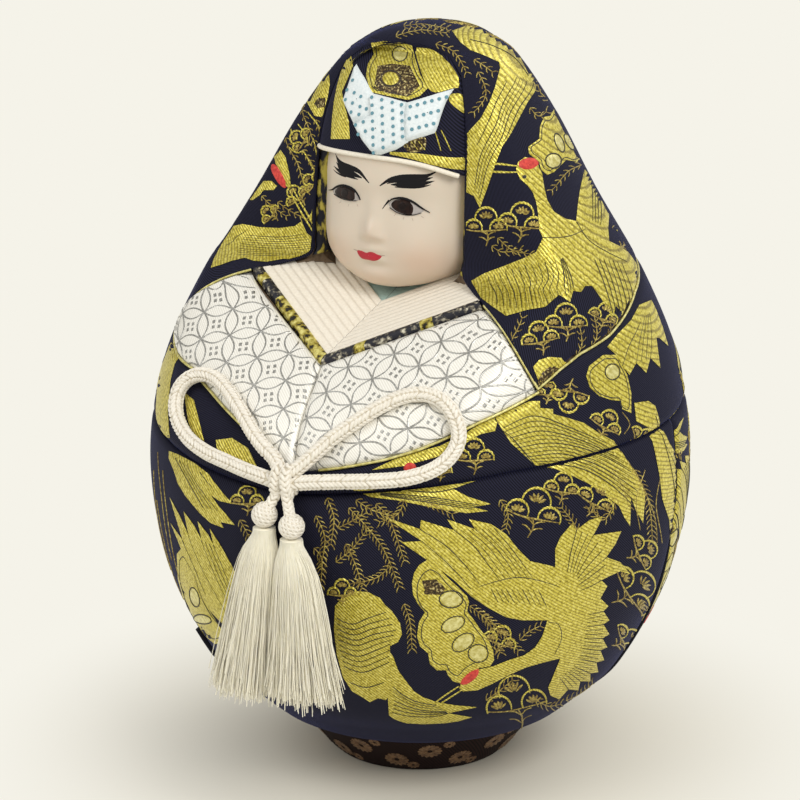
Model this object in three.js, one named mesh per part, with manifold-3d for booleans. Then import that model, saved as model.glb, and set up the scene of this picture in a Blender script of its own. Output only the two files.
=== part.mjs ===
// Hime daruma: a seated princess doll, an egg of moulded core dressed in tucked brocade pieces,
// with a masked head under a hood, layered collars, a cord bow and two thread tassels.
// Millimetres, +Z up. Origin: centre of the underside. Front is -Y, the doll's left is +X.
import * as THREE from "three";
import { mergeVertices } from "three/addons/utils/BufferGeometryUtils.js";
import Module from "manifold-3d";

const wasm = await Module();
wasm.setup();

// Body: heights and radii of the dressed outer surface
const BODY_HEIGHT = 258;
const BODY_RADIUS = 94;
const WIDEST_HEIGHT = 106;
const CROWN_LEAN = 8;
const HEM_RADIUS = 50;
const HEM_HEIGHT = 17;
const FOOT_RADIUS = 31;
const FOOT_TOP_RADIUS = 44;

// Shape of the egg: shares of its widest radius, and of the rise above or the drop below it
const EGG_ABOVE = [
  [0, 1], [0.149, 0.988], [0.255, 0.955], [0.34, 0.908], [0.479, 0.783],
  [0.628, 0.618], [0.819, 0.421], [0.952, 0.224], [1, 0],
];
const EGG_BELOW = [[0.941, 0.404], [0.787, 0.742], [0.649, 0.893]];

// Side view of the carved front: share of the body's height, share of its radius in front of the axis
const FRONT_CARVE = [
  [0.368, 1.191], [0.446, 1.085], [0.481, 1.016], [0.523, 0.926], [0.562, 0.809], [0.602, 0.681],
  [0.64, 0.553], [0.663, 0.468], [0.678, 0.388], [0.688, 0.293], [0.698, 0.239], [0.721, 0.221],
  [0.775, 0.218], [0.833, 0.202], [0.891, 0.181], [0.946, 0.165], [0.977, 0.138], [1, 0.106],
];
const CARVE_BLEND = 14;

// Cloth, its bed of paste and padding, and the gaps between glued pieces
const CLOTH = 1.1;
const CLOTH_BED = 1.1;
const GLUE = 0.3;
const SEAM = 0.8;

// Moulded core
const CORE_WALL = 7;
const CORE_FLOOR = 12;
const HOLLOW_TOP_GAP = 14;
const BALLAST_DEPTH = 18;
const BASE_BOARD = 3;
const BASE_BOARD_RADIUS = 27;
const BASE_SHEET_RADIUS = 24;

// Head, an ellipsoid in a socket of the core
const HEAD_HALF_WIDTH = 32.6;
const HEAD_HALF_DEPTH = 28;
const HEAD_HALF_HEIGHT = 44;
const HEAD_FORWARD = 1.2;
const CROWN_WALL = 4.1;
const DOWEL_RADIUS = 4;
const DOWEL_LENGTH = 26;

// Face mask
const FACE_HALF_WIDTH = 30;
const FACE_CHIN_DROP = 36;
const FACE_TOP_RISE = 10.5;
const FACE_BACK = 6;
const FACE_FRONT = 31.5;
const FACE_WIDEST_DROP = 8;
const FACE_TEMPLE_REACH = 60;
const FACE_FULLNESS = 3.2;
const EYE_DROP = 5.3;
const EYE_SPACING = 24;
const EYE_HALF_LENGTH = 7.6;
const EYE_HALF_HEIGHT = 2.9;
const EYE_DEPTH = 2.4;
const EYE_RECESS = 0.5;
const BAND_HEIGHT = 1.8;
const BAND_THICKNESS = 0.9;
const HAIRLINE_DROP = 5;

// Hood opening and seams, as degrees from the front and shares of the body's height
const OPENING_BOTTOM = 30.3;
const OPENING_TOP = 27.5;
const OPENING_LEVELS = [0.696, 0.946];
const HOOD_BROW = [[0, 0.982], [18, 0.981], [33, 0.978], [46, 0.97]];
const HOOD_LOBE = [[53, 0.643], [57.5, 0.591]];
const HOOD_BACK = [
  [57.5, 0.591], [64, 0.609], [70.5, 0.622], [82, 0.633], [93, 0.65], [102, 0.664], [114.5, 0.675],
  [145, 0.69], [180, 0.696],
];
const WAIST_SEAM = [
  [-180, 0.5], [-110, 0.496], [-60, 0.481], [-38, 0.473], [-6, 0.461], [3, 0.46], [27, 0.479],
  [50, 0.495], [70, 0.5], [110, 0.502], [180, 0.5],
];
const LEFT_CHEST_SEAM = [
  [3.5, 0.486], [14, 0.499], [23, 0.513], [31, 0.529], [43, 0.558], [57.5, 0.587],
];
const RIGHT_CHEST_SEAM = [
  [3.5, 0.486], [-7, 0.514], [-15, 0.532], [-25, 0.553], [-35, 0.572], [-57.5, 0.587],
];
const SIDE_SEAM = 100;

// Collar: the crossing of the V, the shoulder end of its edge, and how far its valley passes under the chin
const COLLAR_CROSSING = 0.602;
const SHOULDER_LEVEL = 0.679;
const SHOULDER_HALF = 46;
const CHIN_CLEAR = 0.8655;
const COLLAR_DEPTH = 4.2;
const TRIM_START = 1.7;
const TRIM_WIDTH = 3.2;
const PLEAT_COUNT = 9;
const PLEAT_WIDTH = 2.9;
const PLEAT_STEP = 0.3;
const PLEAT_FOLD = 0.4;
const PLEAT_DROP = 0.4;
const NECK_FRONT = 20.3;
const STRIP_SHORT = 4;
const INNER_COLLAR_WIDTH = 3;

// Cord bow and tassels
const KNOT_ANGLE = 3.5;
const KNOT_LEVEL = 0.4814 * BODY_HEIGHT;
const KNOT_HALF = [6.2, 4.6, 5.6];
const CORD_RADIUS = 2.4;
const CORD_CLEAR = 0.4;
const PIN_RADIUS = 0.5;
const PIN_LENGTH = 14;
const BALL_RADIUS = 4.4;
const TAIL_RADIUS = 1.9;
const SKIRT_LENGTH = 61;
const SKIRT_TOP_RADIUS = 4.3;
const STRANDS = 150;
const STRAND_RADIUS = 0.3;
// Routes of the loops: degrees from the front, rise above the knot, lift of the cord's middle off the cloth
const RIGHT_ROUTE = [
  [0.3, 3.8, 4.4], [-3.4, 6.6, 3.8], [-7.6, 10.2, 3.4], [-12.6, 14.6, 3.2], [-18.5, 18.8, 3.2],
  [-24, 21.5, 3.2], [-28.4, 21.8, 3.2], [-31.2, 19.8, 3.2], [-32.1, 16.2, 3.2], [-30.9, 11.5, 3.2],
  [-27.9, 7.2, 3.2], [-23.3, 3.7, 3.2], [-17.6, 1.5, 3.2], [-11.9, 0.3, 3.3],
  [-6.2, -1, 3.8], [-0.7, -2, 4.5],
];
const LEFT_ROUTE = [
  [6.8, 3.6, 4.4], [9, 7.2, 3.8], [12.2, 11.9, 3.4], [16.7, 16.8, 3.2], [21.8, 21.5, 3.2],
  [27.3, 25.1, 3.2], [32.3, 26.4, 3.2], [36.1, 24.9, 3.2], [38.2, 20.7, 3.2], [38.5, 15.3, 3.2],
  [36.7, 9.9, 3.2], [33.2, 5.9, 3.2], [28, 3.3, 3.2], [21.2, 1.6, 3.2], [14.2, 0.2, 3.5],
  [7.3, -1.6, 4.4],
];
const SKIRT_BINDING = 2;
const SKIRT_SWELL = 0.22;
const SKIRT_SWELL_FLAT = 0.72;
const SKIRT_FOOT_FLAT = 0.85;
const SKIRT_CLEAR = 0.3;
// Tassels: the ball's place beside and under the knot, lean of the skirt's foot, its foot radius
const RIGHT_TASSEL = { beside: -5.2, under: 11.6, lean: -7.4, foot: 9.6 };
const LEFT_TASSEL = { beside: 5.4, under: 13.8, lean: 5, foot: 11 };

// Derived places
const SKIN_BED = CLOTH + CLOTH_BED;
const HEAD_CENTRE = new THREE.Vector3(
  0, -HEAD_FORWARD, BODY_HEIGHT - CLOTH - CLOTH_BED - CROWN_WALL - HEAD_HALF_HEIGHT,
);
const CHIN_LEVEL = HEAD_CENTRE.z - FACE_CHIN_DROP;
const HAIRLINE = HEAD_CENTRE.z + FACE_TOP_RISE;
const EYE_LEVEL = HEAD_CENTRE.z - EYE_DROP;
const FACE_WIDEST = HEAD_CENTRE.z - FACE_WIDEST_DROP;
const radians = THREE.MathUtils.degToRad;
const lerp = THREE.MathUtils.lerp;

// Value of a table of [x, y] rows, in rising x, joined by straight lines
function lookUp(table, x) {
  let i = 1;
  while (i < table.length - 1 && table[i][0] < x) i += 1;
  const [x0, y0] = table[i - 1];
  const [x1, y1] = table[i];
  return lerp(y0, y1, THREE.MathUtils.clamp((x - x0) / (x1 - x0), 0, 1));
}

// A smooth curve through points, as a table of rows
function smoothRows(points, perSpan = 24) {
  const curve = new THREE.SplineCurve(points.map(([x, y]) => new THREE.Vector2(x, y)));
  return curve.getPoints(perSpan * (points.length - 1)).map((p) => [p.x, p.y]);
}

// Egg outline from crown to hem: its radius by height, and its length along the surface by height
const eggAbove = EGG_ABOVE.map(([r, s]) => [BODY_RADIUS * r, lerp(WIDEST_HEIGHT, BODY_HEIGHT, s)]);
const eggBelow = EGG_BELOW.map(([r, s]) => [BODY_RADIUS * r, lerp(WIDEST_HEIGHT, HEM_HEIGHT, s)]);
const mirroredStart = [-eggAbove[1][0], eggAbove[1][1]];
const eggRows = smoothRows([mirroredStart, ...eggAbove, ...eggBelow, [HEM_RADIUS, HEM_HEIGHT]]).slice(24);
eggRows[0] = [0, BODY_HEIGHT];
const radiusByHeight = eggRows.map(([r, z]) => [z, r]).reverse();
const lengthByHeight = [];
eggRows.reduce((length, row, i) => {
  const before = eggRows[Math.max(i - 1, 0)];
  const total = length + Math.hypot(row[0] - before[0], row[1] - before[1]);
  lengthByHeight.unshift([row[1], total]);
  return total;
}, 0);
const heightByLength = lengthByHeight.map(([z, m]) => [m, z]).reverse();
const frontByHeight = smoothRows(FRONT_CARVE.map(([z, y]) => [z * BODY_HEIGHT, y * BODY_RADIUS]));

const front = (z) => lookUp(frontByHeight, z);
const lean = (z) => {
  const start = WIDEST_HEIGHT + 4;
  return CROWN_LEAN * Math.max(0, (z - start) / (BODY_HEIGHT - start)) ** 1.5;
};

// Radius of the dressed surface: the egg, smoothly cut back by the carved front
function skinRadius(angle, z) {
  const egg = lookUp(radiusByHeight, z);
  const facing = Math.cos(angle);
  if (facing < 0.09) return egg;
  const carved = (front(z) + lean(z)) / facing;
  const blend = Math.max(CARVE_BLEND - Math.abs(egg - carved), 0) / CARVE_BLEND;
  return Math.min(egg, carved) - (blend * blend * CARVE_BLEND * Math.min(1, egg / 25)) / 4;
}

function onSkin(angle, z) {
  const r = skinRadius(angle, z);
  return new THREE.Vector3(r * Math.sin(angle), lean(z) - r * Math.cos(angle), z);
}

// A point at a distance outside (or, negative, inside) the dressed surface
function skinPoint(angle, z, offset) {
  if (z > BODY_HEIGHT - 0.05) return new THREE.Vector3(0, CROWN_LEAN, BODY_HEIGHT + offset);
  const across = onSkin(angle + 0.002, z).sub(onSkin(angle - 0.002, z));
  const upper = onSkin(angle, Math.min(z + 0.3, BODY_HEIGHT - 0.01));
  const normal = across.cross(upper.sub(onSkin(angle, z - 0.3))).normalize();
  return onSkin(angle, z).addScaledVector(normal, offset);
}

// Closed geometry from points and triangles, turned to face outwards
function closed(points, triangles) {
  let volume = 0;
  for (const [a, b, c] of triangles) volume += points[a].dot(points[b].clone().cross(points[c]));
  const facing = volume < 0 ? triangles.map(([a, b, c]) => [a, c, b]) : triangles;
  const geometry = new THREE.BufferGeometry().setFromPoints(points).setIndex(facing.flat());
  geometry.computeVertexNormals();
  return geometry;
}

// A sheet with thickness: two grids of points, joined along their open edges. Points that meet are one.
function sheet(columns, rows, outerAt, innerAt) {
  const known = new Map();
  const outer = [];
  const inner = [];
  const pointAt = (i, j) => {
    const p = outerAt(i / columns, j / rows);
    const key = p.toArray().map((v) => Math.round(v * 1e4)).join();
    if (!known.has(key)) {
      known.set(key, outer.push(p) - 1);
      inner.push(innerAt(i / columns, j / rows));
    }
    return known.get(key);
  };
  const faces = [];
  for (let j = 0; j < rows; j += 1)
    for (let i = 0; i < columns; i += 1) {
      const [a, b, c, d] = [pointAt(i, j), pointAt(i + 1, j), pointAt(i + 1, j + 1), pointAt(i, j + 1)];
      faces.push([a, b, c], [a, c, d]);
    }
  const real = faces.filter(([a, b, c]) => a !== b && b !== c && c !== a);
  const open = new Map();
  for (const face of real)
    face.forEach((from, k) => {
      const to = face[(k + 1) % 3];
      if (!open.delete(`${to},${from}`)) open.set(`${from},${to}`, [from, to]);
    });
  const under = outer.length;
  const triangles = [...real, ...real.map(([a, b, c]) => [under + a, under + c, under + b])];
  for (const [from, to] of open.values())
    triangles.push([to, from, under + from], [to, under + from, under + to]);
  return closed([...outer, ...inner], triangles);
}

// Rings of equal count lofted into one closed body, each end closed by a fan
function loft(rings) {
  const count = rings[0].length;
  const triangles = [];
  for (let j = 0; j < rings.length - 1; j += 1)
    for (let i = 0; i < count; i += 1) {
      const a = j * count + i;
      const b = j * count + ((i + 1) % count);
      triangles.push([a, b, b + count], [a, b + count, a + count]);
    }
  const last = (rings.length - 1) * count;
  for (let i = 1; i < count - 1; i += 1) triangles.push([0, i + 1, i], [last, last + i, last + i + 1]);
  return closed(rings.flat(), triangles);
}

function mirrored(geometry) {
  const copy = geometry.clone().scale(-1, 1, 1);
  const index = copy.getIndex();
  for (let i = 0; i < index.count; i += 3) {
    const b = index.getX(i + 1);
    index.setX(i + 1, index.getX(i + 2));
    index.setX(i + 2, b);
  }
  copy.computeVertexNormals();
  return copy;
}

// Turned about the vertical axis from a profile of [radius, height] points
function turned(profile, segments) {
  const points = profile.map(([r, z]) => new THREE.Vector2(r, z));
  return new THREE.LatheGeometry(points, segments).rotateX(Math.PI / 2);
}

function ellipsoid(radii, centre, columns, rows) {
  const ball = new THREE.SphereGeometry(1, columns, rows).rotateX(Math.PI / 2);
  return ball.scale(...radii).translate(centre.x, centre.y, centre.z);
}

function rod(radius, from, to, sides) {
  const along = to.clone().sub(from);
  const cylinder = new THREE.CylinderGeometry(radius, radius, along.length(), sides);
  const turn = new THREE.Quaternion().setFromUnitVectors(
    new THREE.Vector3(0, 1, 0), along.clone().normalize(),
  );
  const middle = from.clone().add(to).multiplyScalar(0.5);
  return cylinder.applyQuaternion(turn).translate(middle.x, middle.y, middle.z);
}

// Solids for joins and cuts
function solid(geometry) {
  const bare = new THREE.BufferGeometry().setAttribute("position", geometry.getAttribute("position"));
  bare.setIndex(geometry.getIndex());
  const merged = mergeVertices(bare, 1e-4);
  const triVerts = new Uint32Array(merged.getIndex().array);
  const vertProperties = merged.getAttribute("position").array;
  return new wasm.Manifold(new wasm.Mesh({ numProp: 3, vertProperties, triVerts }));
}

function surface(manifold) {
  const mesh = manifold.getMesh();
  const geometry = new THREE.BufferGeometry();
  geometry.setAttribute("position", new THREE.BufferAttribute(new Float32Array(mesh.vertProperties), 3));
  geometry.setIndex(new THREE.BufferAttribute(new Uint32Array(mesh.triVerts), 1));
  geometry.computeVertexNormals();
  return geometry;
}

const box = (low, high) => {
  const size = high.map((v, i) => v - low[i]);
  const middle = high.map((v, i) => (v + low[i]) / 2);
  return new THREE.BoxGeometry(...size).translate(...middle);
};

// Materials
const material = (color, roughness, metalness = 0) =>
  new THREE.MeshStandardMaterial({ color, roughness, metalness });
const BROCADE = material(0x2b2a38, 0.55, 0.1);
const SILVER = material(0xc9c6ba, 0.4, 0.2);
const FOOT_BROCADE = material(0x3a2420, 0.6, 0.1);
const CREAM = material(0xf1e6cf, 0.7);
const TURQUOISE = material(0xcfe3df, 0.6);
const DOTTED = material(0xe6e8ea, 0.6);
const CORD = material(0xefe4d0, 0.65);
const GOFUN = material(0xf3e2c9, 0.35);
const GLASS = material(0x2a130c, 0.05);
const CORE = material(0xb99a72, 0.9);
const WOOD = material(0xa9824f, 0.8);
const CLAY = material(0x8a7868, 0.95);
const FELT = material(0x2b2b2b, 0.95);
const STEEL = material(0xb8bcc0, 0.3, 1);

const doll = new THREE.Group();
doll.name = "hime_daruma";
function addPiece(parent, name, geometry, look) {
  const mesh = new THREE.Mesh(geometry, look);
  mesh.name = name;
  parent.add(mesh);
  return mesh;
}

// A cloth piece on the skin, ruled between a lower and an upper line of [angle, height].
// Its room is the same piece grown by the glue under it: the hollow front of the core is carved for it.
const PIECE = [0, -CLOTH];
const ROOM = [CLOTH_BED, -CLOTH - GLUE];
const rooms = [];
function skinPiece(columns, rows, lower, upper) {
  const at = (offset) => (u, v) => {
    const [a0, z0] = lower(u);
    const [a1, z1] = upper(u);
    return skinPoint(radians(lerp(a0, a1, v)), lerp(z0, z1, v), offset);
  };
  return [PIECE, ROOM].map(([outer, inner]) => sheet(columns, rows, at(outer), at(inner)));
}

const level = (rows) => rows.map(([a, s]) => [a, s * BODY_HEIGHT]);
const rising = (rows) => (rows[0][0] < rows.at(-1)[0] ? rows : [...rows].reverse());
const waistAt = (a) => lookUp(level(WAIST_SEAM), a);
const hoodBackAt = (a) => lookUp(level(HOOD_BACK), Math.abs(a));
const chestSeamAt = (a, seam) => lookUp(rising(level(seam)), a);

// Where the chest pieces turn in to the collar: the crossing of the V, and the shoulder ends
const crossing = new THREE.Vector3(0, -front(COLLAR_CROSSING * BODY_HEIGHT), COLLAR_CROSSING * BODY_HEIGHT);
const collarSlope = (CHIN_LEVEL - CHIN_CLEAR - crossing.z) / (-crossing.y - NECK_FRONT);
const shoulder = new THREE.Vector3(
  SHOULDER_HALF, -front(SHOULDER_LEVEL * BODY_HEIGHT), SHOULDER_LEVEL * BODY_HEIGHT,
);
const collarTilt =
  (shoulder.z - crossing.z - collarSlope * (shoulder.y - crossing.y)) / SHOULDER_HALF;
const angleOf = (p) => THREE.MathUtils.radToDeg(Math.atan2(p.x, lean(p.z) - p.y));

// Base: felt disc, board and foot cloth
const footSlope = (FOOT_TOP_RADIUS - FOOT_RADIUS) / (HEM_HEIGHT - SEAM);
function footCloth() {
  const top = HEM_HEIGHT - SEAM;
  const wall = CLOTH * Math.hypot(1, footSlope);
  return turned(
    [
      [BASE_SHEET_RADIUS + GLUE, 0], [FOOT_RADIUS, 0], [FOOT_TOP_RADIUS, top], [FOOT_TOP_RADIUS - wall, top],
      [FOOT_RADIUS - wall + footSlope * CLOTH, CLOTH], [BASE_SHEET_RADIUS + GLUE, CLOTH],
      [BASE_SHEET_RADIUS + GLUE, 0],
    ],
    30,
  );
}
const BOARD_BOTTOM = CLOTH + GLUE;
const CORE_BOTTOM = BOARD_BOTTOM + BASE_BOARD + GLUE;
const disc = (radius, bottom, top) => turned([[0, bottom], [radius, bottom], [radius, top], [0, top]], 32);
addPiece(doll, "base_sheet", disc(BASE_SHEET_RADIUS, 0, CLOTH), FELT);
addPiece(doll, "base_board", disc(BASE_BOARD_RADIUS, BOARD_BOTTOM, BOARD_BOTTOM + BASE_BOARD), WOOD);
addPiece(doll, "foot_cloth", footCloth(), FOOT_BROCADE);

// Core: the skin less its bed of cloth, with the head's socket, the collar's recess and a hollow
const CORE_COLUMNS = 30;
function coreBody() {
  const total = heightByLength.at(-1)[0];
  const lengths = [];
  for (let m = 8; m < total - 6; m += 13) lengths.push(m);
  const shelf = lookUp(lengthByHeight, FRONT_CARVE[10][0] * BODY_HEIGHT);
  for (const step of [-5, 1, 7]) lengths.push(shelf + step);
  lengths.push(total);
  lengths.sort((a, b) => a - b);
  const points = [new THREE.Vector3(0, CROWN_LEAN, BODY_HEIGHT - SKIN_BED)];
  const ring = (at) => {
    for (let i = 0; i < CORE_COLUMNS; i += 1) points.push(at((2 * Math.PI * i) / CORE_COLUMNS));
  };
  const heights = lengths.map((m) => lookUp(heightByLength, m));
  for (const z of heights) ring((a) => skinPoint(a, z, -SKIN_BED));
  const footWall = (CLOTH + GLUE) * Math.hypot(1, footSlope);
  for (const z of [HEM_HEIGHT - SEAM, CORE_BOTTOM]) {
    const r = FOOT_RADIUS + footSlope * z - footWall;
    ring((a) => new THREE.Vector3(r * Math.sin(a), -r * Math.cos(a), z));
  }
  points.push(new THREE.Vector3(0, 0, CORE_BOTTOM));
  const rings = heights.length + 2;
  const triangles = [];
  for (let i = 0; i < CORE_COLUMNS; i += 1) {
    const n = (i + 1) % CORE_COLUMNS;
    triangles.push([0, 1 + i, 1 + n]);
    for (let j = 0; j < rings - 1; j += 1) {
      const a = 1 + j * CORE_COLUMNS + i;
      const b = 1 + j * CORE_COLUMNS + n;
      triangles.push([a, a + CORE_COLUMNS, b], [b, a + CORE_COLUMNS, b + CORE_COLUMNS]);
    }
    const low = 1 + (rings - 1) * CORE_COLUMNS;
    triangles.push([low + i, points.length - 1, low + n]);
  }
  return closed(points, triangles);
}

// The hollow: the egg less the wall, closing under the head
const hollowTop = HEAD_CENTRE.z - HEAD_HALF_HEIGHT - HOLLOW_TOP_GAP;
function hollowRadius(z) {
  const full = (h) => lookUp(radiusByHeight, Math.max(h, HEM_HEIGHT)) - SKIN_BED - CORE_WALL;
  const shoulderStart = WIDEST_HEIGHT - CORE_WALL;
  if (z <= shoulderStart) return Math.min(full(z), FOOT_RADIUS + 2.2 * (z - CORE_FLOOR));
  const t = (z - shoulderStart) / (hollowTop - shoulderStart);
  return full(shoulderStart) * Math.sqrt(Math.max(0, 1 - t * t));
}
const ballastTop = CORE_FLOOR + BALLAST_DEPTH;
function hollowProfile() {
  const profile = [[0, CORE_FLOOR], [hollowRadius(CORE_FLOOR), CORE_FLOOR]];
  const steps = 8;
  for (let k = 0; k < steps; k += 1) {
    const z = lerp(ballastTop, hollowTop, k / steps);
    profile.push([hollowRadius(z), z]);
  }
  profile.push([0, hollowTop]);
  return profile;
}
function ballastProfile() {
  const low = hollowRadius(CORE_FLOOR) - 3 * GLUE;
  const high = hollowRadius(ballastTop) - 3 * GLUE;
  return [[0, CORE_FLOOR + GLUE], [low, CORE_FLOOR + GLUE], [high, ballastTop], [0, ballastTop]];
}

// The recess behind the chest for the collar layers, one half of it
const planeHeight = (x, y) => crossing.z + collarSlope * (y - crossing.y) + collarTilt * Math.abs(x);
const collarNormal = new THREE.Vector3(-collarTilt, -collarSlope, 1).normalize();
function collarRecess() {
  const corner = openingCorner();
  const plan = [
    [-0.02, crossing.y - 1], [shoulder.x, shoulder.y], [corner.x, corner.y + SKIN_BED], [-0.02, -FACE_BACK],
  ];
  const deep = (COLLAR_DEPTH + GLUE) / collarNormal.z;
  const lower = plan.map(([x, y]) => new THREE.Vector3(x, y, planeHeight(x, y) - deep));
  const upper = plan.map(([x, y]) => new THREE.Vector3(x, y, HEAD_CENTRE.z));
  return loft([lower, upper]);
}

// Hood opening: its half width by height, and its lower corner beside the jaw
const openingHalf = (z) => {
  const [low, high] = OPENING_LEVELS.map((s) => s * BODY_HEIGHT);
  return lerp(OPENING_BOTTOM, OPENING_TOP, (z - low) / (high - low));
};
function openingEdge(z) {
  return [THREE.MathUtils.radToDeg(Math.atan2(openingHalf(z), front(z) + lean(z))), z];
}
function openingCorner() {
  const [a, z] = openingEdge(OPENING_LEVELS[0] * BODY_HEIGHT);
  return onSkin(radians(a), z);
}

// The opening in front of the head, seen from the front, through to the parting of the core
function openingSpace() {
  const brow = level(HOOD_BROW);
  const sides = [0.93, 0.891, 0.833, 0.775, OPENING_LEVELS[0]].map((s) => openingEdge(s * BODY_HEIGHT));
  const half = [...brow, ...sides].map(([a, z]) => onSkin(radians(a), z));
  const outline = [...half, ...half.slice(1).reverse().map((p) => p.clone().setX(-p.x))];
  const at = (y) => outline.map((p) => p.clone().setY(y));
  return loft([at(-BODY_RADIUS), at(HEAD_CENTRE.y - GLUE)]);
}

const headRadii = [HEAD_HALF_WIDTH, HEAD_HALF_DEPTH, HEAD_HALF_HEIGHT];
const dowelMiddle = HEAD_CENTRE.z - HEAD_HALF_HEIGHT;
const dowelEnds = (radius, reach) => [
  radius,
  new THREE.Vector3(0, HEAD_CENTRE.y, dowelMiddle - reach),
  new THREE.Vector3(0, HEAD_CENTRE.y, dowelMiddle + reach),
  20,
];
const knotSkin = skinPoint(radians(KNOT_ANGLE), KNOT_LEVEL, 0);
const knotCentre = knotSkin.clone().add(new THREE.Vector3(0, -KNOT_HALF[1] - CORD_CLEAR, 0));
const pinFrom = new THREE.Vector3(knotCentre.x, knotSkin.y - KNOT_HALF[1], KNOT_LEVEL);
const pinRod = (radius, more) => {
  const back = new THREE.Vector3(0, 1, 0);
  const head = pinFrom.clone().addScaledVector(back, -more);
  return rod(radius, head, pinFrom.clone().addScaledVector(back, PIN_LENGTH + more), 12);
};

function coreHalves() {
  const socket = headRadii.map((r) => r + GLUE);
  let core = solid(coreBody())
    .subtract(solid(turned(hollowProfile(), 24)))
    .subtract(solid(ellipsoid(socket, HEAD_CENTRE, 22, 12)))
    .subtract(solid(faceSpace()))
    .subtract(solid(rod(...dowelEnds(DOWEL_RADIUS + GLUE, DOWEL_LENGTH / 2 + GLUE))))
    .subtract(solid(pinRod(PIN_RADIUS + GLUE, GLUE)));
  const recess = collarRecess();
  core = core.subtract(solid(recess)).subtract(solid(mirrored(recess))).subtract(solid(openingSpace()));
  const reach = BODY_RADIUS * 2;
  const parting = HEAD_CENTRE.y;
  const before = box([-reach, -reach, -1], [reach, parting - GLUE / 2, BODY_HEIGHT]);
  const behind = box([-reach, parting + GLUE / 2, -1], [reach, reach, BODY_HEIGHT]);
  const largest = (body) => body.decompose().sort((a, b) => b.volume() - a.volume())[0];
  let frontHalf = core.intersect(solid(before));
  for (const room of rooms) frontHalf = frontHalf.subtract(solid(room));
  return [frontHalf, core.intersect(solid(behind))].map(largest);
}

// Face: depth of the mask's front in front of the axis
const oval = (z) => {
  const reach = z < FACE_WIDEST ? FACE_WIDEST - CHIN_LEVEL : FACE_TEMPLE_REACH;
  const share = Math.abs((z - FACE_WIDEST) / reach);
  return FACE_HALF_WIDTH * Math.max(0.004, 1 - share ** FACE_FULLNESS) ** (1 / FACE_FULLNESS);
};
const bump = (x, z, x0, z0, wide, high) => Math.exp(-(((x - x0) / wide) ** 2) - ((z - z0) / high) ** 2);
function faceDepth(x, z) {
  const side = Math.abs(x);
  const up = z - (HEAD_CENTRE.z - 10);
  const round = 1 - (side / (FACE_HALF_WIDTH + 3)) ** 2.2 - (Math.abs(up) / 30) ** 3.2;
  const base = (FACE_FRONT + 4) * Math.sqrt(Math.max(round, 0.02)) - 4;
  return (
    base +
    4 * bump(x, up, 0, -4.5, 4, 5) +
    1.2 * bump(x, up, 0, 3, 3.2, 8) +
    2.2 * bump(x, up, 0, -12.5, 10, 5.5) +
    0.9 * bump(x, up, 0, -11, 5.5, 1.8) +
    0.9 * bump(x, up, 0, -14.6, 4.6, 1.8) +
    5.4 * bump(x, up, 0, -21, 9, 6) +
    1.8 * bump(side, up, 17, -9, 8, 8) -
    1.4 * bump(side, up, EYE_SPACING / 2, 5.2, 8, 4.2)
  );
}
const hairlineAt = (x) => HAIRLINE - HAIRLINE_DROP * Math.abs(x / FACE_HALF_WIDTH) ** 3;
function maskPoint(u, v) {
  const low = CHIN_LEVEL + 0.15;
  const z0 = lerp(low, HAIRLINE, v);
  const x = oval(z0) * (2 * u - 1);
  return [x, lerp(low, hairlineAt(x), v)];
}
function faceMask() {
  const outer = (u, v) => {
    const [x, z] = maskPoint(u, v);
    return new THREE.Vector3(x, -faceDepth(x, z), z);
  };
  const columns = 18;
  const rows = 22;
  const across = columns + 1;
  const points = [];
  for (let j = 0; j <= rows; j += 1)
    for (let i = 0; i <= columns; i += 1) points.push(outer(i / columns, j / rows));
  const triangles = [];
  for (let j = 0; j < rows; j += 1)
    for (let i = 0; i < columns; i += 1) {
      const a = j * across + i;
      triangles.push([a, a + 1, a + across + 1], [a, a + across + 1, a + across]);
    }
  const rim = [];
  for (let i = 0; i < columns; i += 1) rim.push(i);
  for (let j = 0; j < rows; j += 1) rim.push(j * across + columns);
  for (let i = columns; i > 0; i -= 1) rim.push(rows * across + i);
  for (let j = rows; j > 0; j -= 1) rim.push(j * across);
  const flat = points.length;
  for (const k of rim) points.push(points[k].clone().setY(-FACE_BACK));
  const middle = points.push(new THREE.Vector3(0, -FACE_BACK, EYE_LEVEL)) - 1;
  rim.forEach((k, i) => {
    const n = (i + 1) % rim.length;
    triangles.push([rim[n], k, flat + i], [rim[n], flat + i, flat + n], [flat + n, flat + i, middle]);
  });
  return closed(points, triangles);
}

// Space for the mask in the head block and the core, with its glue gap
function faceSpace() {
  const rim = [];
  const steps = 14;
  for (let k = 0; k < steps; k += 1) rim.push([1, k / steps]);
  for (let k = 0; k < steps; k += 1) rim.push([1 - k / steps, 1]);
  for (let k = steps; k >= 0; k -= 1) rim.push([0, k / steps]);
  const grown = rim.map(([u, v]) => {
    const [x, z] = maskPoint(u, v);
    const away = new THREE.Vector2(x, z - FACE_WIDEST);
    away.setLength(away.length() + 2 * GLUE);
    return [away.x, away.y + FACE_WIDEST];
  });
  const at = (y) => grown.map(([x, z]) => new THREE.Vector3(x, y, z));
  return loft([at(-FACE_BACK + GLUE), at(-BODY_RADIUS)]);
}

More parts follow.
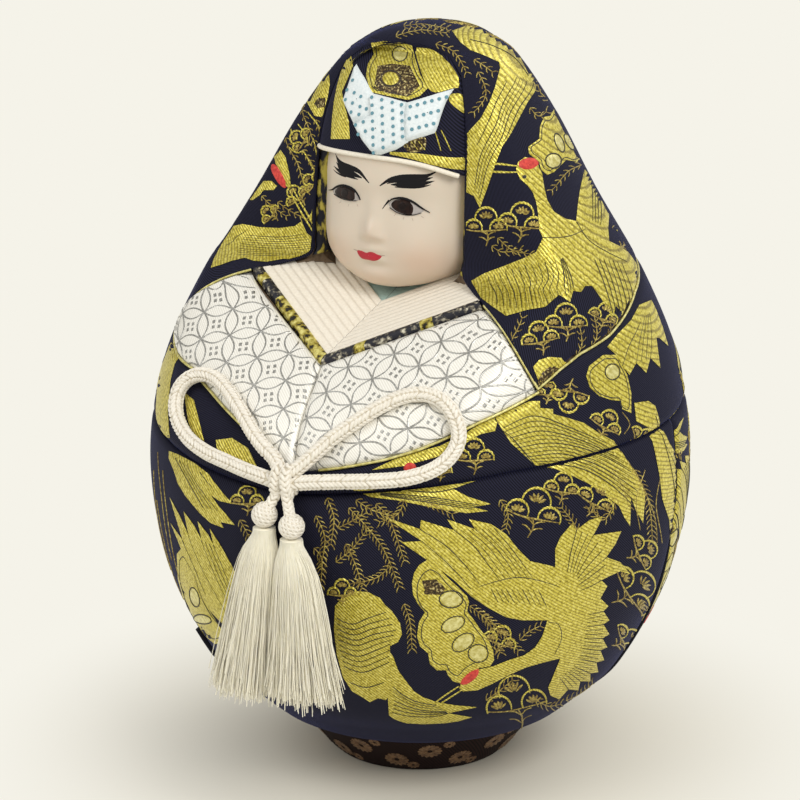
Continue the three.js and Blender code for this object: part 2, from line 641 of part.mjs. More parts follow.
// Almond eye: half height along its length, grown by a margin
function almond(side, margin, front0, front1) {
  const centre = (side * EYE_SPACING) / 2;
  const reach = EYE_HALF_LENGTH + margin;
  const place = (u, v) => {
    const s = lerp(-0.985, 0.985, u);
    const half = (EYE_HALF_HEIGHT + margin) * (1 - s * s) ** 0.7;
    return [centre + reach * s, EYE_LEVEL + half * (2 * v - 1)];
  };
  const at = (depth) => (u, v) => {
    const [x, z] = place(u, v);
    return new THREE.Vector3(x, -depth(x, z), z);
  };
  return sheet(10, 2, at(front0), at(front1));
}
const eyeFront = (x, z) => faceDepth(x, z) - EYE_RECESS;
const eyeBack = (x, z) => faceDepth(x, z) - EYE_RECESS - EYE_DEPTH;
const pocketBack = (x, z) => eyeBack(x, z) - GLUE;

// A point over the head's ellipsoid, at its place in front view
function headPoint(x, z, offset) {
  const [w, d, h] = headRadii;
  const up = z - HEAD_CENTRE.z;
  const share = Math.sqrt(Math.max(0.001, 1 - (x / w) ** 2 - (up / h) ** 2));
  const normal = new THREE.Vector3(x / (w * w), -share / d, up / (h * h)).normalize();
  return new THREE.Vector3(x, HEAD_CENTRE.y - d * share, z).addScaledVector(normal, offset);
}
function headSheet(columns, rows, place, low, thickness) {
  const at = (offset) => (u, v) => headPoint(...place(u, v), offset);
  return sheet(columns, rows, at(low + thickness), at(low));
}

const headGroup = new THREE.Group();
doll.add(headGroup);
addPiece(doll, "ballast", turned(ballastProfile(), 24), CLAY);
const headBlock = solid(ellipsoid(headRadii, HEAD_CENTRE, 22, 12))
  .subtract(solid(faceSpace()))
  .subtract(solid(rod(...dowelEnds(DOWEL_RADIUS + GLUE, DOWEL_LENGTH / 2 + GLUE))));
addPiece(headGroup, "head_block", surface(headBlock), CORE);
addPiece(headGroup, "neck_dowel", rod(...dowelEnds(DOWEL_RADIUS, DOWEL_LENGTH / 2)), WOOD);
const pocketFront = () => BODY_RADIUS;
const mask = solid(faceMask())
  .subtract(solid(almond(1, GLUE, pocketFront, pocketBack)))
  .subtract(solid(almond(-1, GLUE, pocketFront, pocketBack)));
addPiece(headGroup, "face_mask", surface(mask), GOFUN);
addPiece(headGroup, "left_eye", almond(1, 0, eyeFront, eyeBack), GLASS);
addPiece(headGroup, "right_eye", almond(-1, 0, eyeFront, eyeBack), GLASS);

// Headband along the hairline, then the cap above it up to the hood's brow
const BAND_HALF = FACE_HALF_WIDTH - 4 * CLOTH;
const bandPlace = (u, v) => {
  const x = BAND_HALF * (2 * u - 1);
  return [x, hairlineAt(x) + 3 * GLUE + BAND_HEIGHT * v];
};
addPiece(headGroup, "headband", headSheet(12, 1, bandPlace, GLUE, BAND_THICKNESS), DOTTED);
const capLow = (x) => hairlineAt(x) + 4 * GLUE + BAND_HEIGHT;
const capTop = HEAD_CENTRE.z + HEAD_HALF_HEIGHT * 0.965;
function capPlace(u, v) {
  const z0 = lerp(capLow(0), capTop, v);
  const t = Math.max(0, (z0 - capLow(0)) / (capTop + 1 - capLow(0)));
  const x = (BAND_HALF - CLOTH) * Math.sqrt(1 - t ** 2.4) * (2 * u - 1);
  return [x, lerp(capLow(x), capTop, v)];
}
addPiece(headGroup, "forehead_cap", headSheet(12, 8, capPlace, GLUE, CLOTH), BROCADE);

// Folded ornament on the forehead: two wings and the fold between, as places in front view
const quadPlace = (a, b, c, d) => (u, v) => [
  lerp(lerp(a[0], b[0], u), lerp(d[0], c[0], u), v),
  HAIRLINE + lerp(lerp(a[1], b[1], u), lerp(d[1], c[1], u), v),
];
const wingBed = CLOTH + 3 * GLUE;
const ORNAMENT = 1;
const leftWing = quadPlace([3.4, 3.2], [19.6, 9.2], [20.2, 22], [6.5, 18.6]);
const rightWing = quadPlace([-0.2, 4.2], [-17.4, 14], [-18.4, 24], [-4.6, 19.6]);
const fold = quadPlace([1, 3.6], [9, 8.6], [5.4, 18], [-3.6, 18.8]);
addPiece(headGroup, "ornament_left_wing", headSheet(5, 4, leftWing, wingBed, ORNAMENT), DOTTED);
addPiece(headGroup, "ornament_right_wing", headSheet(5, 4, rightWing, wingBed, ORNAMENT), DOTTED);
addPiece(headGroup, "ornament_fold", headSheet(4, 4, fold, wingBed + ORNAMENT + GLUE, ORNAMENT), DOTTED);

// Hood: rows round the head from the crown down, each from one front edge round the back to the other.
// A row is a share of the way, along the surface, from the crown to the seam at the shoulders.
const HOOD_ROWS = [
  0, 0.06, 0.12, 0.162, 0.172, 0.19, 0.21, 0.25, 0.31, 0.37, 0.44, 0.51, 0.57, 0.62, 0.665, 0.71, 0.76, 0.82,
  0.91, 1,
];
const HOOD_HALF_COLUMNS = 12;
const HOOD_ROOM = 0.4; // degrees of clearance at its front edge
const lengthAt = (z) => lookUp(lengthByHeight, z);
function hoodFrontEdge() {
  const sides = [0.95, 0.93, 0.891, 0.833, 0.775, 0.74, 0.715, OPENING_LEVELS[0]];
  const points = [
    ...level(HOOD_BROW),
    ...sides.map((s) => openingEdge(s * BODY_HEIGHT)),
    [angleOf(shoulder), shoulder.z],
    ...level(HOOD_LOBE),
  ];
  return points.map(([a, z]) => [lengthAt(z), a]);
}
function hood() {
  const frontEdge = hoodFrontEdge();
  const lobe = HOOD_BACK[0][0];
  const at = (offset, spare) => (u, v) => {
    const turn = 2 * u - 1;
    const back = 1 - Math.abs(turn);
    const seamLength = lengthAt(hoodBackAt(lerp(lobe, 180, back)) + SEAM / 2);
    const m = seamLength * HOOD_ROWS[Math.round(v * (HOOD_ROWS.length - 1))];
    const edge = m < frontEdge[0][0] ? 0 : lookUp(frontEdge, m);
    const grown = back === 0 ? Math.max(edge - spare, 0) : lerp(edge, 180, back);
    const angle = turn < 0 ? -grown : grown;
    return skinPoint(radians(angle), lookUp(heightByLength, m), offset);
  };
  const columns = 2 * HOOD_HALF_COLUMNS;
  const rows = HOOD_ROWS.length - 1;
  return [[PIECE, 0], [ROOM, HOOD_ROOM]].map(([[outer, inner], spare]) =>
    sheet(columns, rows, at(outer, spare), at(inner, spare)),
  );
}
const [hoodPiece, hoodRoom] = hood();
addPiece(doll, "hood", hoodPiece, BROCADE);
rooms.push(hoodRoom);

// Chest pieces, from the seam at the sleeves up to the collar's edge
function chest(seam, side) {
  const seamEnd = seam.at(-1)[0];
  const lower = (u) => {
    const a = lerp(KNOT_ANGLE + side * 0.35, seamEnd - side * 0.9, u);
    return [a, chestSeamAt(a, seam) + SEAM];
  };
  const upper = (u) => {
    const p = crossing.clone().lerp(shoulder, 0.01 + 0.965 * u);
    return [side * (angleOf(p) + 0.2), p.z - SEAM / 2];
  };
  return skinPiece(11, 6, lower, upper);
}
const chestPieces = [["left_chest", LEFT_CHEST_SEAM, 1], ["right_chest", RIGHT_CHEST_SEAM, -1]];
for (const [name, seam, side] of chestPieces) {
  const [piece, room] = chest(seam, side);
  addPiece(doll, name, piece, SILVER);
  rooms.push(room);
}

// Sleeves, round to the seam down the middle of the back
function sleeve(seam, side) {
  const seamEnd = Math.abs(seam.at(-1)[0]);
  const stops = [];
  const start = side * KNOT_ANGLE + 0.65;
  for (let k = 0; k <= 7; k += 1) stops.push(lerp(start, seamEnd, k / 7));
  for (let k = 1; k <= 12; k += 1) stops.push(lerp(seamEnd, 179.6, k / 12));
  const angle = (u) => side * stops[Math.round(u * (stops.length - 1))];
  const lower = (u) => [angle(u), waistAt(angle(u)) + SEAM / 2];
  const upper = (u) => {
    const a = angle(u);
    const inFront = Math.abs(a) <= seamEnd;
    return [a, (inFront ? chestSeamAt(a, seam) : hoodBackAt(a)) - SEAM / 2];
  };
  return skinPiece(stops.length - 1, 4, lower, upper)[0];
}
addPiece(doll, "left_sleeve", sleeve(LEFT_CHEST_SEAM, 1), BROCADE);
addPiece(doll, "right_sleeve", sleeve(RIGHT_CHEST_SEAM, -1), BROCADE);

// Lower pieces, from the hem to the waist seam
function lowerPiece(from, to, columns) {
  const wrapped = (a) => (a > 180 ? a - 360 : a);
  const lower = (u) => [lerp(from, to, u), HEM_HEIGHT + 0.05];
  const upper = (u) => [lerp(from, to, u), waistAt(wrapped(lerp(from, to, u))) - SEAM / 2];
  return skinPiece(columns, 9, lower, upper)[0];
}
const sideGap = 0.3;
addPiece(doll, "lap_front", lowerPiece(-SIDE_SEAM + sideGap, SIDE_SEAM - sideGap, 22), BROCADE);
addPiece(doll, "seat_back", lowerPiece(SIDE_SEAM + sideGap, 360 - SIDE_SEAM - sideGap, 17), BROCADE);

// Collar layers: strips on a plane behind the chest edge, between the valley and the hood
const along = shoulder.clone().sub(crossing);
const edgeLength = along.length();
along.normalize();
const inward = collarNormal.clone().cross(along).normalize();
const corner = openingCorner();
const cornerAcross = corner.clone().sub(crossing).dot(inward);
const cornerAlong = corner.clone().sub(crossing).dot(along);
const neck = new THREE.Vector3(0, -NECK_FRONT, 0);
neck.z = planeHeight(0, neck.y);
const neckAcross = neck.clone().sub(crossing).dot(inward);
const neckAlong = neck.clone().sub(crossing).dot(along);
function stripEnds(across) {
  const start = (neckAlong * across) / neckAcross + SEAM;
  const inner = (across - cornerAcross) / (neckAcross - cornerAcross);
  const end =
    across < cornerAcross
      ? lerp(edgeLength, cornerAlong, across / cornerAcross) - STRIP_SHORT
      : lerp(cornerAlong - STRIP_SHORT, neckAlong, inner);
  return [start, Math.max(end, start + 1)];
}
// A strip from a cross-section of [across, height] points, closed along its underside
function collarStrip(section) {
  const under = [section[0], section.at(-1)].map(([across]) => [across, -COLLAR_DEPTH]);
  const rim = [...under, ...[...section].reverse()];
  const ring = (end) =>
    rim.map(([across, high]) =>
      crossing.clone()
        .addScaledVector(along, stripEnds(across)[end])
        .addScaledVector(inward, across)
        .addScaledVector(collarNormal, high),
    );
  const rings = [ring(0), ring(1)];
  const shape = rim.map(([x, y]) => new THREE.Vector2(x, y));
  const count = rim.length;
  const triangles = [];
  for (const [a, b, c] of THREE.ShapeUtils.triangulateShape(shape, [])) {
    const turn = shape[b].clone().sub(shape[a]).cross(shape[c].clone().sub(shape[a]));
    const [second, third] = turn > 0 ? [b, c] : [c, b];
    triangles.push([a, third, second], [count + a, count + second, count + third]);
  }
  for (let i = 0; i < count; i += 1) {
    const n = (i + 1) % count;
    triangles.push([i, n, count + n], [i, count + n, count + i]);
  }
  return closed(rings.flat(), triangles);
}
const trimEnd = TRIM_START + TRIM_WIDTH;
const pleatStart = trimEnd + GLUE;
const pleatEnd = pleatStart + PLEAT_COUNT * PLEAT_WIDTH;
const pleatSection = [];
for (let k = 0; k < PLEAT_COUNT; k += 1) {
  const across = pleatStart + k * PLEAT_WIDTH;
  const high = -PLEAT_DROP - k * PLEAT_STEP;
  pleatSection.push([across, high - PLEAT_STEP]);
  pleatSection.push([across + PLEAT_WIDTH - PLEAT_FOLD, high]);
  pleatSection.push([across + PLEAT_WIDTH - 0.01, high - PLEAT_STEP]);
}
const innerLow = -PLEAT_DROP - PLEAT_COUNT * PLEAT_STEP;
const innerStart = pleatEnd + GLUE;
const innerEnd = Math.min(innerStart + INNER_COLLAR_WIDTH, neckAcross - 1);
const innerMiddle = (innerStart + innerEnd) / 2;
const strips = {
  trim: [collarStrip([[TRIM_START, 0.2], [TRIM_START + TRIM_WIDTH / 2, 0.6], [trimEnd, 0.2]]), BROCADE],
  pleats: [collarStrip(pleatSection), CREAM],
  inner_collar: [
    collarStrip([[innerStart, innerLow - 0.3], [innerMiddle, innerLow + 0.2], [innerEnd, innerLow - 0.3]]),
    TURQUOISE,
  ],
};
for (const [name, [geometry, look]] of Object.entries(strips)) {
  addPiece(doll, `left_${name}`, geometry, look);
  addPiece(doll, `right_${name}`, mirrored(geometry), look);
}

// Bow: knot on its pin, and two loops of cord that leave it and come back
const bow = new THREE.Group();
doll.add(bow);
const knot = solid(ellipsoid(KNOT_HALF, knotCentre, 16, 9)).subtract(solid(pinRod(PIN_RADIUS + GLUE, GLUE)));
addPiece(bow, "bow_knot", surface(knot), CORD);
addPiece(bow, "bow_pin", pinRod(PIN_RADIUS, 0), STEEL);
function cordLoop(route) {
  const points = route.map(([a, rise, lift]) => skinPoint(radians(a), KNOT_LEVEL + rise, lift));
  const sides = 8;
  const section = [];
  for (let i = 0; i < sides; i += 1) {
    const t = (2 * Math.PI * i) / sides;
    section.push(new THREE.Vector2(CORD_RADIUS * Math.cos(t), CORD_RADIUS * Math.sin(t)));
  }
  const extrudePath = new THREE.CatmullRomCurve3(points);
  const shape = new THREE.Shape(section);
  return new THREE.ExtrudeGeometry(shape, { extrudePath, steps: 26, bevelEnabled: false });
}
addPiece(bow, "left_loop", cordLoop(LEFT_ROUTE), CORD);
addPiece(bow, "right_loop", cordLoop(RIGHT_ROUTE), CORD);

// Tassels: cord tail, wound ball, and a skirt of threads under a bound top
function tassel(side, { beside, under, lean: footLean, foot }) {
  const swellRadius = lerp(SKIRT_TOP_RADIUS, foot, 0.5);
  const backReach = [
    [0, SKIRT_TOP_RADIUS],
    [SKIRT_SWELL, swellRadius * SKIRT_SWELL_FLAT],
    [1, foot * SKIRT_FOOT_FLAT],
  ];
  // The skirt hangs straight, clear of the belly at every level
  const topLevel = knotCentre.z - under - BALL_RADIUS - GLUE;
  let forward = 0;
  for (let step = 0; step <= 20; step += 1) {
    const belly = -skinPoint(0, topLevel - (step / 20) * SKIRT_LENGTH, 0).y;
    forward = Math.max(forward, belly + lookUp(backReach, step / 20) + STRAND_RADIUS + SKIRT_CLEAR);
  }
  const centre = new THREE.Vector3(knotCentre.x + beside, -forward, knotCentre.z - under);
  const toBall = centre.clone().sub(knotCentre);
  const away = toBall.clone().normalize();
  const knotReach = 1 / Math.hypot(...KNOT_HALF.map((r, i) => away.getComponent(i) / r));
  const tailFrom = knotCentre.clone().addScaledVector(away, knotReach + GLUE);
  const tailTo = centre.clone().addScaledVector(away, -BALL_RADIUS - GLUE);
  addPiece(bow, `${side}_tail`, rod(TAIL_RADIUS, tailFrom, tailTo, 14), CORD);
  const ballRadii = [BALL_RADIUS, BALL_RADIUS, BALL_RADIUS];
  addPiece(bow, `${side}_tassel_ball`, ellipsoid(ballRadii, centre, 12, 8), CORD);
  const top = centre.clone().add(new THREE.Vector3(0, 0, -BALL_RADIUS - GLUE));
  const bound = new THREE.CylinderGeometry(SKIRT_TOP_RADIUS, SKIRT_TOP_RADIUS, SKIRT_BINDING, 18)
    .rotateX(Math.PI / 2)
    .translate(top.x, top.y, top.z - SKIRT_BINDING / 2);
  const threads = [];
  for (let k = 0; k < STRANDS; k += 1) {
    const spread = Math.sqrt((k + 0.5) / STRANDS);
    const turn = k * Math.PI * (3 - Math.sqrt(5));
    const out = new THREE.Vector3(Math.cos(turn), Math.sin(turn), 0);
    const length = SKIRT_LENGTH - 3 + 3 * Math.sin(k * 2.4);
    const at = (share, radius, shift, flat) =>
      top.clone()
        .addScaledVector(out.clone().multiply(new THREE.Vector3(1, flat, 1)), spread * radius)
        .add(new THREE.Vector3(footLean * shift, 0, -SKIRT_BINDING / 2 - length * share));
    const swell = spread > 0.6 ? [at(SKIRT_SWELL, swellRadius, 0.4, SKIRT_SWELL_FLAT)] : [];
    const stops = [at(0, SKIRT_TOP_RADIUS - 0.4, 0, 1), ...swell, at(1, foot, 1, SKIRT_FOOT_FLAT)];
    threads.push(
      loft(stops.map((p) => [0, 1, 2].map((i) => {
        const t = turn + (2 * Math.PI * i) / 3;
        return p.clone().add(new THREE.Vector3(Math.cos(t), Math.sin(t), 0).multiplyScalar(STRAND_RADIUS));
      }))),
    );
  }
  const skirt = wasm.Manifold.union([solid(bound), ...threads.map(solid)]);
  addPiece(bow, `${side}_tassel_skirt`, surface(skirt), CORD);
}
tassel("right", RIGHT_TASSEL);
tassel("left", LEFT_TASSEL);

// The core last, because it is carved to take everything above
const [coreFront, coreBack] = coreHalves();
addPiece(doll, "core_front", surface(coreFront), CORE);
addPiece(doll, "core_back", surface(coreBack), CORE);

export default doll;
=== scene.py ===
import math

import bmesh
import bpy
import numpy as np
from mathutils import Matrix, Vector
from mathutils.geometry import delaunay_2d_cdt


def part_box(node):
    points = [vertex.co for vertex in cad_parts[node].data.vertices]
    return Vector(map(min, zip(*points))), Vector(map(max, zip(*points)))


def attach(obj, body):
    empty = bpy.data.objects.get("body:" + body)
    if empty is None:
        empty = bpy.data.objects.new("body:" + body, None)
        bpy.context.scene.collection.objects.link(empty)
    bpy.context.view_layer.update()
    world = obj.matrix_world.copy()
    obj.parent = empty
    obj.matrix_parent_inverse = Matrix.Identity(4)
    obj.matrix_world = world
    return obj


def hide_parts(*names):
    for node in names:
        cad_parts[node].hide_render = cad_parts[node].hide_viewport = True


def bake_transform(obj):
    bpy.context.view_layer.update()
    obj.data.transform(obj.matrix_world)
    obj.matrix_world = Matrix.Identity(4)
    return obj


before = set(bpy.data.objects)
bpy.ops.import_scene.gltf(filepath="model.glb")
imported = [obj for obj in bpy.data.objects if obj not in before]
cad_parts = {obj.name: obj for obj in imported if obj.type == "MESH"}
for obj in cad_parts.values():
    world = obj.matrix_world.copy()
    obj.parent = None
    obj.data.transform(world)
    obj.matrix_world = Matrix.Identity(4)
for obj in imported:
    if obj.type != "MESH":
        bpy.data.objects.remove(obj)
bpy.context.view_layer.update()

# The photograph's view: a long lens from the doll's left, a little above it, in a square picture.
# The doll's middle stands right of the picture's middle, so the lens is shifted a little.
scene = bpy.context.scene
scene.view_settings.view_transform = "Standard"
PICTURE = 800
FOCAL_PIXELS = 3587.5
AIM = Vector((0, 0, 0.12))
AIM_PIXEL = (420.0, 416.6)
AZIMUTH = math.radians(31)
ELEVATION = math.radians(17)
DISTANCE = 1.25
SENSOR = 36
view_back = Vector((
    math.sin(AZIMUTH) * math.cos(ELEVATION), -math.cos(AZIMUTH) * math.cos(ELEVATION), math.sin(ELEVATION),
))
view_right = Vector((math.cos(AZIMUTH), math.sin(AZIMUTH), 0))
view_up = view_back.cross(view_right)
eye = AIM + view_back * DISTANCE
lens = bpy.data.cameras.new("camera")
lens.sensor_width = SENSOR
lens.lens = FOCAL_PIXELS / PICTURE * SENSOR
lens.shift_x = (PICTURE / 2 - AIM_PIXEL[0]) / PICTURE
lens.shift_y = (AIM_PIXEL[1] - PICTURE / 2) / PICTURE
camera = bpy.data.objects.new("camera", lens)
view_axes = Matrix((view_right, view_up, view_back)).transposed()
camera.matrix_world = Matrix.Translation(eye) @ view_axes.to_4x4()
scene.collection.objects.link(camera)
scene.camera = camera

# Studio: a broad soft lamp above and to the right, a weaker one from the left, and a pale even surround.
# The floor keeps the doll's shadow and fades into the surround; near the doll it is coloured darker than the
# surround, painted shade that deepens the shadow round the foot.
PAPER = (0.915, 0.895, 0.815)
LAMPS = (
    ("key_lamp", (1.25, -0.6, 1.3), 0.8, 16.5),
    ("fill_lamp", (-0.7, -1.1, 1.2), 1.0, 6.8),
    ("back_lamp", (0.5, 1.3, 1.3), 0.9, 6.0),
)
SKY_COLOR = (1, 0.985, 0.95)
SKY_STRENGTH = 0.52
# Near the doll the floor's colour is darker than the surround: painted shade round the foot.
FLOOR_SHADE_COLOR = (0.72, 0.67, 0.55)
FLOOR_ROUGHNESS = 0.9
FLOOR_SHINE = 0.1
FLOOR_HALF = 4.0
FADE_FROM = 0.02
FADE_TO = 0.17
for name, place, size, power in LAMPS:
    light = bpy.data.lights.new(name, "AREA")
    light.size = size
    light.energy = power
    lamp = bpy.data.objects.new(name, light)
    lamp.location = place
    lamp.rotation_euler = (AIM - Vector(place)).to_track_quat("-Z", "Y").to_euler()
    scene.collection.objects.link(lamp)


def set_inputs(node, **values):
    """Set a node's inputs; an underscore in a name stands for a space."""
    for socket, value in values.items():
        node.inputs[socket.replace("_", " ")].default_value = value
    return node


def connect(tree, *wires):
    """Join outputs of nodes to inputs of others."""
    for source, output, target, socket in wires:
        tree.links.new(source.outputs[output], target.inputs[socket])


world = bpy.data.worlds.new("surround")
scene.world = world
world.use_nodes = True
sky = world.node_tree
surround = set_inputs(sky.nodes["Background"], Color=(*SKY_COLOR, 1), Strength=SKY_STRENGTH)
seen_sky = set_inputs(sky.nodes.new("ShaderNodeBackground"), Color=(*PAPER, 1))
rays = sky.nodes.new("ShaderNodeLightPath")
sky_mix = sky.nodes.new("ShaderNodeMixShader")
connect(
    sky, (rays, "Is Camera Ray", sky_mix, 0), (surround, 0, sky_mix, 1), (seen_sky, 0, sky_mix, 2),
    (sky_mix, 0, sky.nodes["World Output"], "Surface"),
)

floor_paint = bpy.data.materials.new("floor_with_painted_shade")
floor_paint.use_nodes = True
tree = floor_paint.node_tree
floor_shader = set_inputs(
    tree.nodes["Principled BSDF"], Base_Color=(*FLOOR_SHADE_COLOR, 1), Roughness=FLOOR_ROUGHNESS,
    Specular_IOR_Level=FLOOR_SHINE,
)
glow = set_inputs(tree.nodes.new("ShaderNodeEmission"), Color=(*PAPER, 1))
place = tree.nodes.new("ShaderNodeTexCoord")
reach = tree.nodes.new("ShaderNodeVectorMath")
reach.operation = "LENGTH"
fade = tree.nodes.new("ShaderNodeMapRange")
fade.interpolation_type = "SMOOTHSTEP"
set_inputs(fade, From_Min=FADE_FROM, From_Max=FADE_TO)
far_mix = tree.nodes.new("ShaderNodeMixShader")
connect(
    tree, (place, "Object", reach, 0), (reach, "Value", fade, "Value"), (fade, "Result", far_mix, 0),
    (floor_shader, 0, far_mix, 1), (glow, 0, far_mix, 2),
    (far_mix, 0, tree.nodes["Material Output"], "Surface"),
)
floor_mesh = bpy.data.meshes.new("floor")
floor_corners = [(x * FLOOR_HALF, y * FLOOR_HALF, 0) for x, y in ((-1, -1), (1, -1), (1, 1), (-1, 1))]
floor_mesh.from_pydata(floor_corners, [], [(0, 1, 2, 3)])
floor_mesh.materials.append(floor_paint)
floor = bpy.data.objects.new("floor", floor_mesh)
scene.collection.objects.link(floor)

# The body: two halves moulded from sawdust paste, an egg with its front carved back for chest and face.
# All the cloth lies on this form, so its surface is worked out here: angles are from the front, in radians.
MM = 0.001
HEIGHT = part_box("hood")[1][2]
RADIUS = 94 * MM
WIDEST = 106 * MM
CROWN_LEAN = 8 * MM
HEM_RADIUS = 50 * MM
HEM = 17 * MM
EGG_ABOVE = [
    (0, 1), (0.149, 0.988), (0.255, 0.955), (0.34, 0.908), (0.479, 0.783), (0.628, 0.618), (0.819, 0.421),
    (0.952, 0.224), (1, 0),
]
EGG_BELOW = [(0.941, 0.404), (0.787, 0.742), (0.649, 0.893)]
FRONT_CARVE = [
    (0.368, 1.191), (0.446, 1.085), (0.481, 1.016), (0.523, 0.926), (0.562, 0.809), (0.602, 0.681),
    (0.64, 0.553), (0.663, 0.468), (0.678, 0.388), (0.688, 0.293), (0.698, 0.239), (0.721, 0.221),
    (0.775, 0.218), (0.833, 0.202), (0.891, 0.181), (0.946, 0.165), (0.977, 0.138), (1, 0.106),
]
CARVE_BLEND = 14 * MM
BLEND_RADIUS = 25 * MM
LEAST_FACING = 0.09
ROWS_PER_SPAN = 24
LEAN_START = WIDEST + 4 * MM
LEAN_POWER = 1.5
RAY_REACH = (0.13, 0.11)
RAY_STEPS = 240
RAY_HALVINGS = 12
RAY_LEVELS = (0.5 * MM, HEIGHT - 0.05 * MM)
NORMAL_TURN = 0.002
NORMAL_STEP = 0.3 * MM
NORMAL_TOP = HEIGHT - 0.02 * MM
LEAST_NORMAL = 1e-12
SKIN_TOP = HEIGHT - 0.0001 * MM


def smooth_rows(points, per_span=ROWS_PER_SPAN):
    """A Catmull-Rom curve through points, as many rows per span."""
    p = np.array(points, float)
    rows = []
    for i in range(len(p) - 1):
        before, start, end, after = p[max(i - 1, 0)], p[i], p[i + 1], p[min(i + 2, len(p) - 1)]
        t = (np.arange(per_span) / per_span)[:, None]
        v0, v1 = (end - before) / 2, (after - start) / 2
        cubic = (2 * start - 2 * end + v0 + v1) * t**3
        rows.append(cubic + (3 * end - 3 * start - 2 * v0 - v1) * t**2 + v0 * t + start)
    return np.vstack([*rows, p[-1:]])


above = [(RADIUS * r, WIDEST + (HEIGHT - WIDEST) * s) for r, s in EGG_ABOVE]
below = [(RADIUS * r, WIDEST + (HEM - WIDEST) * s) for r, s in EGG_BELOW]
egg = smooth_rows([(-above[1][0], above[1][1]), *above, *below, (HEM_RADIUS, HEM)])[ROWS_PER_SPAN:]
egg[0] = (0, HEIGHT)
egg_length = np.concatenate([[0], np.cumsum(np.hypot(*np.diff(egg, axis=0).T))])
carve = smooth_rows([(z * HEIGHT, y * RADIUS) for z, y in FRONT_CARVE])


def length_at(z):
    return np.interp(-z, -egg[:, 1], egg_length)


def height_at(length):
    return np.interp(length, egg_length, egg[:, 1])


def lean(z):
    return CROWN_LEAN * np.clip((z - LEAN_START) / (HEIGHT - LEAN_START), 0, 1) ** LEAN_POWER


def skin_radius(angle, z):
    round_part = np.interp(-z, -egg[:, 1], egg[:, 0])
    facing = np.cos(angle)
    flat_part = (np.interp(z, carve[:, 0], carve[:, 1]) + lean(z)) / np.maximum(facing, LEAST_FACING)
    flat_part = np.where(facing < LEAST_FACING, 1.0, flat_part)
    blend = np.maximum(CARVE_BLEND - np.abs(round_part - flat_part), 0) / CARVE_BLEND
    trim = blend**2 * CARVE_BLEND / 4 * np.minimum(1, round_part / BLEND_RADIUS)
    return np.minimum(round_part, flat_part) - trim


def bare_skin(angle, z):
    r = skin_radius(angle, z)
    return np.stack([r * np.sin(angle), lean(z) - r * np.cos(angle), z + 0 * r], -1)


def skin_normal(angle, z):
    across = bare_skin(angle + NORMAL_TURN, z) - bare_skin(angle - NORMAL_TURN, z)
    up = bare_skin(angle, np.minimum(z + NORMAL_STEP, NORMAL_TOP)) - bare_skin(angle, z - NORMAL_STEP)
    n = np.cross(across, up)
    length = np.linalg.norm(n, axis=-1, keepdims=True)
    return np.where(length > LEAST_NORMAL, n / np.maximum(length, LEAST_NORMAL), (0, 0, 1))


def skin(angle, z, off=0.0):
    """Points at a distance outside the dressed surface, in the part's frame."""
    angle, z = np.broadcast_arrays(np.asarray(angle, float), np.asarray(z, float))
    z = np.minimum(z, SKIN_TOP)
    return bare_skin(angle, z) + np.asarray(off)[..., None] * skin_normal(angle, z)


def snap(points):
    """Angle and height of points near the surface."""
    z = points[..., 2]
    return np.arctan2(points[..., 0], lean(z) - points[..., 1]), z


def outside_skin(q):
    """How far points are outside the dressed surface, roughly."""
    z = np.clip(q[..., 2], *RAY_LEVELS)
    angle = np.arctan2(q[..., 0], lean(z) - q[..., 1])
    over = np.maximum(q[..., 2] - HEIGHT, 0) + np.maximum(-q[..., 2], 0)
    return np.hypot(q[..., 0], q[..., 1] - lean(z)) - skin_radius(angle, z) + over


def meet(pixels, outside):
    """Points where lines of sight through pixels of the picture first meet a surface."""
    p = np.atleast_2d(np.asarray(pixels, float))
    ray = (-np.array(view_back) + np.outer(p[:, 0] - AIM_PIXEL[0], view_right) / FOCAL_PIXELS
           + np.outer(AIM_PIXEL[1] - p[:, 1], view_up) / FOCAL_PIXELS)
    depth = np.linspace(DISTANCE - RAY_REACH[0], DISTANCE + RAY_REACH[1], RAY_STEPS)
    gap = outside(np.array(eye) + depth[None, :, None] * ray[:, None, :])
    first = np.where((gap < 0).any(1), np.argmax(gap < 0, axis=1), np.argmin(gap, axis=1))
    first = np.clip(first, 1, len(depth) - 1)
    near, far = depth[first - 1], depth[first]
    for _ in range(RAY_HALVINGS):
        middle = (near + far) / 2
        reached = outside(np.array(eye) + middle[:, None] * ray) < 0
        near, far = np.where(reached, near, middle), np.where(reached, middle, far)
    return np.array(eye) + far[:, None] * ray


def new_material(name, color, roughness, **values):
    """A material, its node tree and its principled shader, ready for textures."""
    made = bpy.data.materials.new(name)
    made.use_nodes = True
    shader = made.node_tree.nodes["Principled BSDF"]
    set_inputs(shader, Base_Color=(*color, 1), Roughness=roughness, **values)
    return made, made.node_tree, shader


def texture_place(tree, source, scale):
    """Coordinates of a texture: the source's output, stretched by a scale."""
    coordinates = tree.nodes.new("ShaderNodeTexCoord")
    mapping = set_inputs(tree.nodes.new("ShaderNodeMapping"), Scale=scale)
    tree.links.new(coordinates.outputs[source], mapping.inputs["Vector"])
    return mapping.outputs["Vector"]


def ramp(tree, value, stops):
    made = tree.nodes.new("ShaderNodeValToRGB")
    while len(made.color_ramp.elements) < len(stops):
        made.color_ramp.elements.new(0.5)
    for element, (position, color) in zip(made.color_ramp.elements, stops):
        element.position = position
        element.color = (*color, 1)
    tree.links.new(value, made.inputs["Fac"])
    return made.outputs["Color"]


def add_bump(tree, shader, value, distance):
    bump = set_inputs(tree.nodes.new("ShaderNodeBump"), Distance=distance, Strength=1.0)
    tree.links.new(value, bump.inputs["Height"])
    tree.links.new(bump.outputs["Normal"], shader.inputs["Normal"])


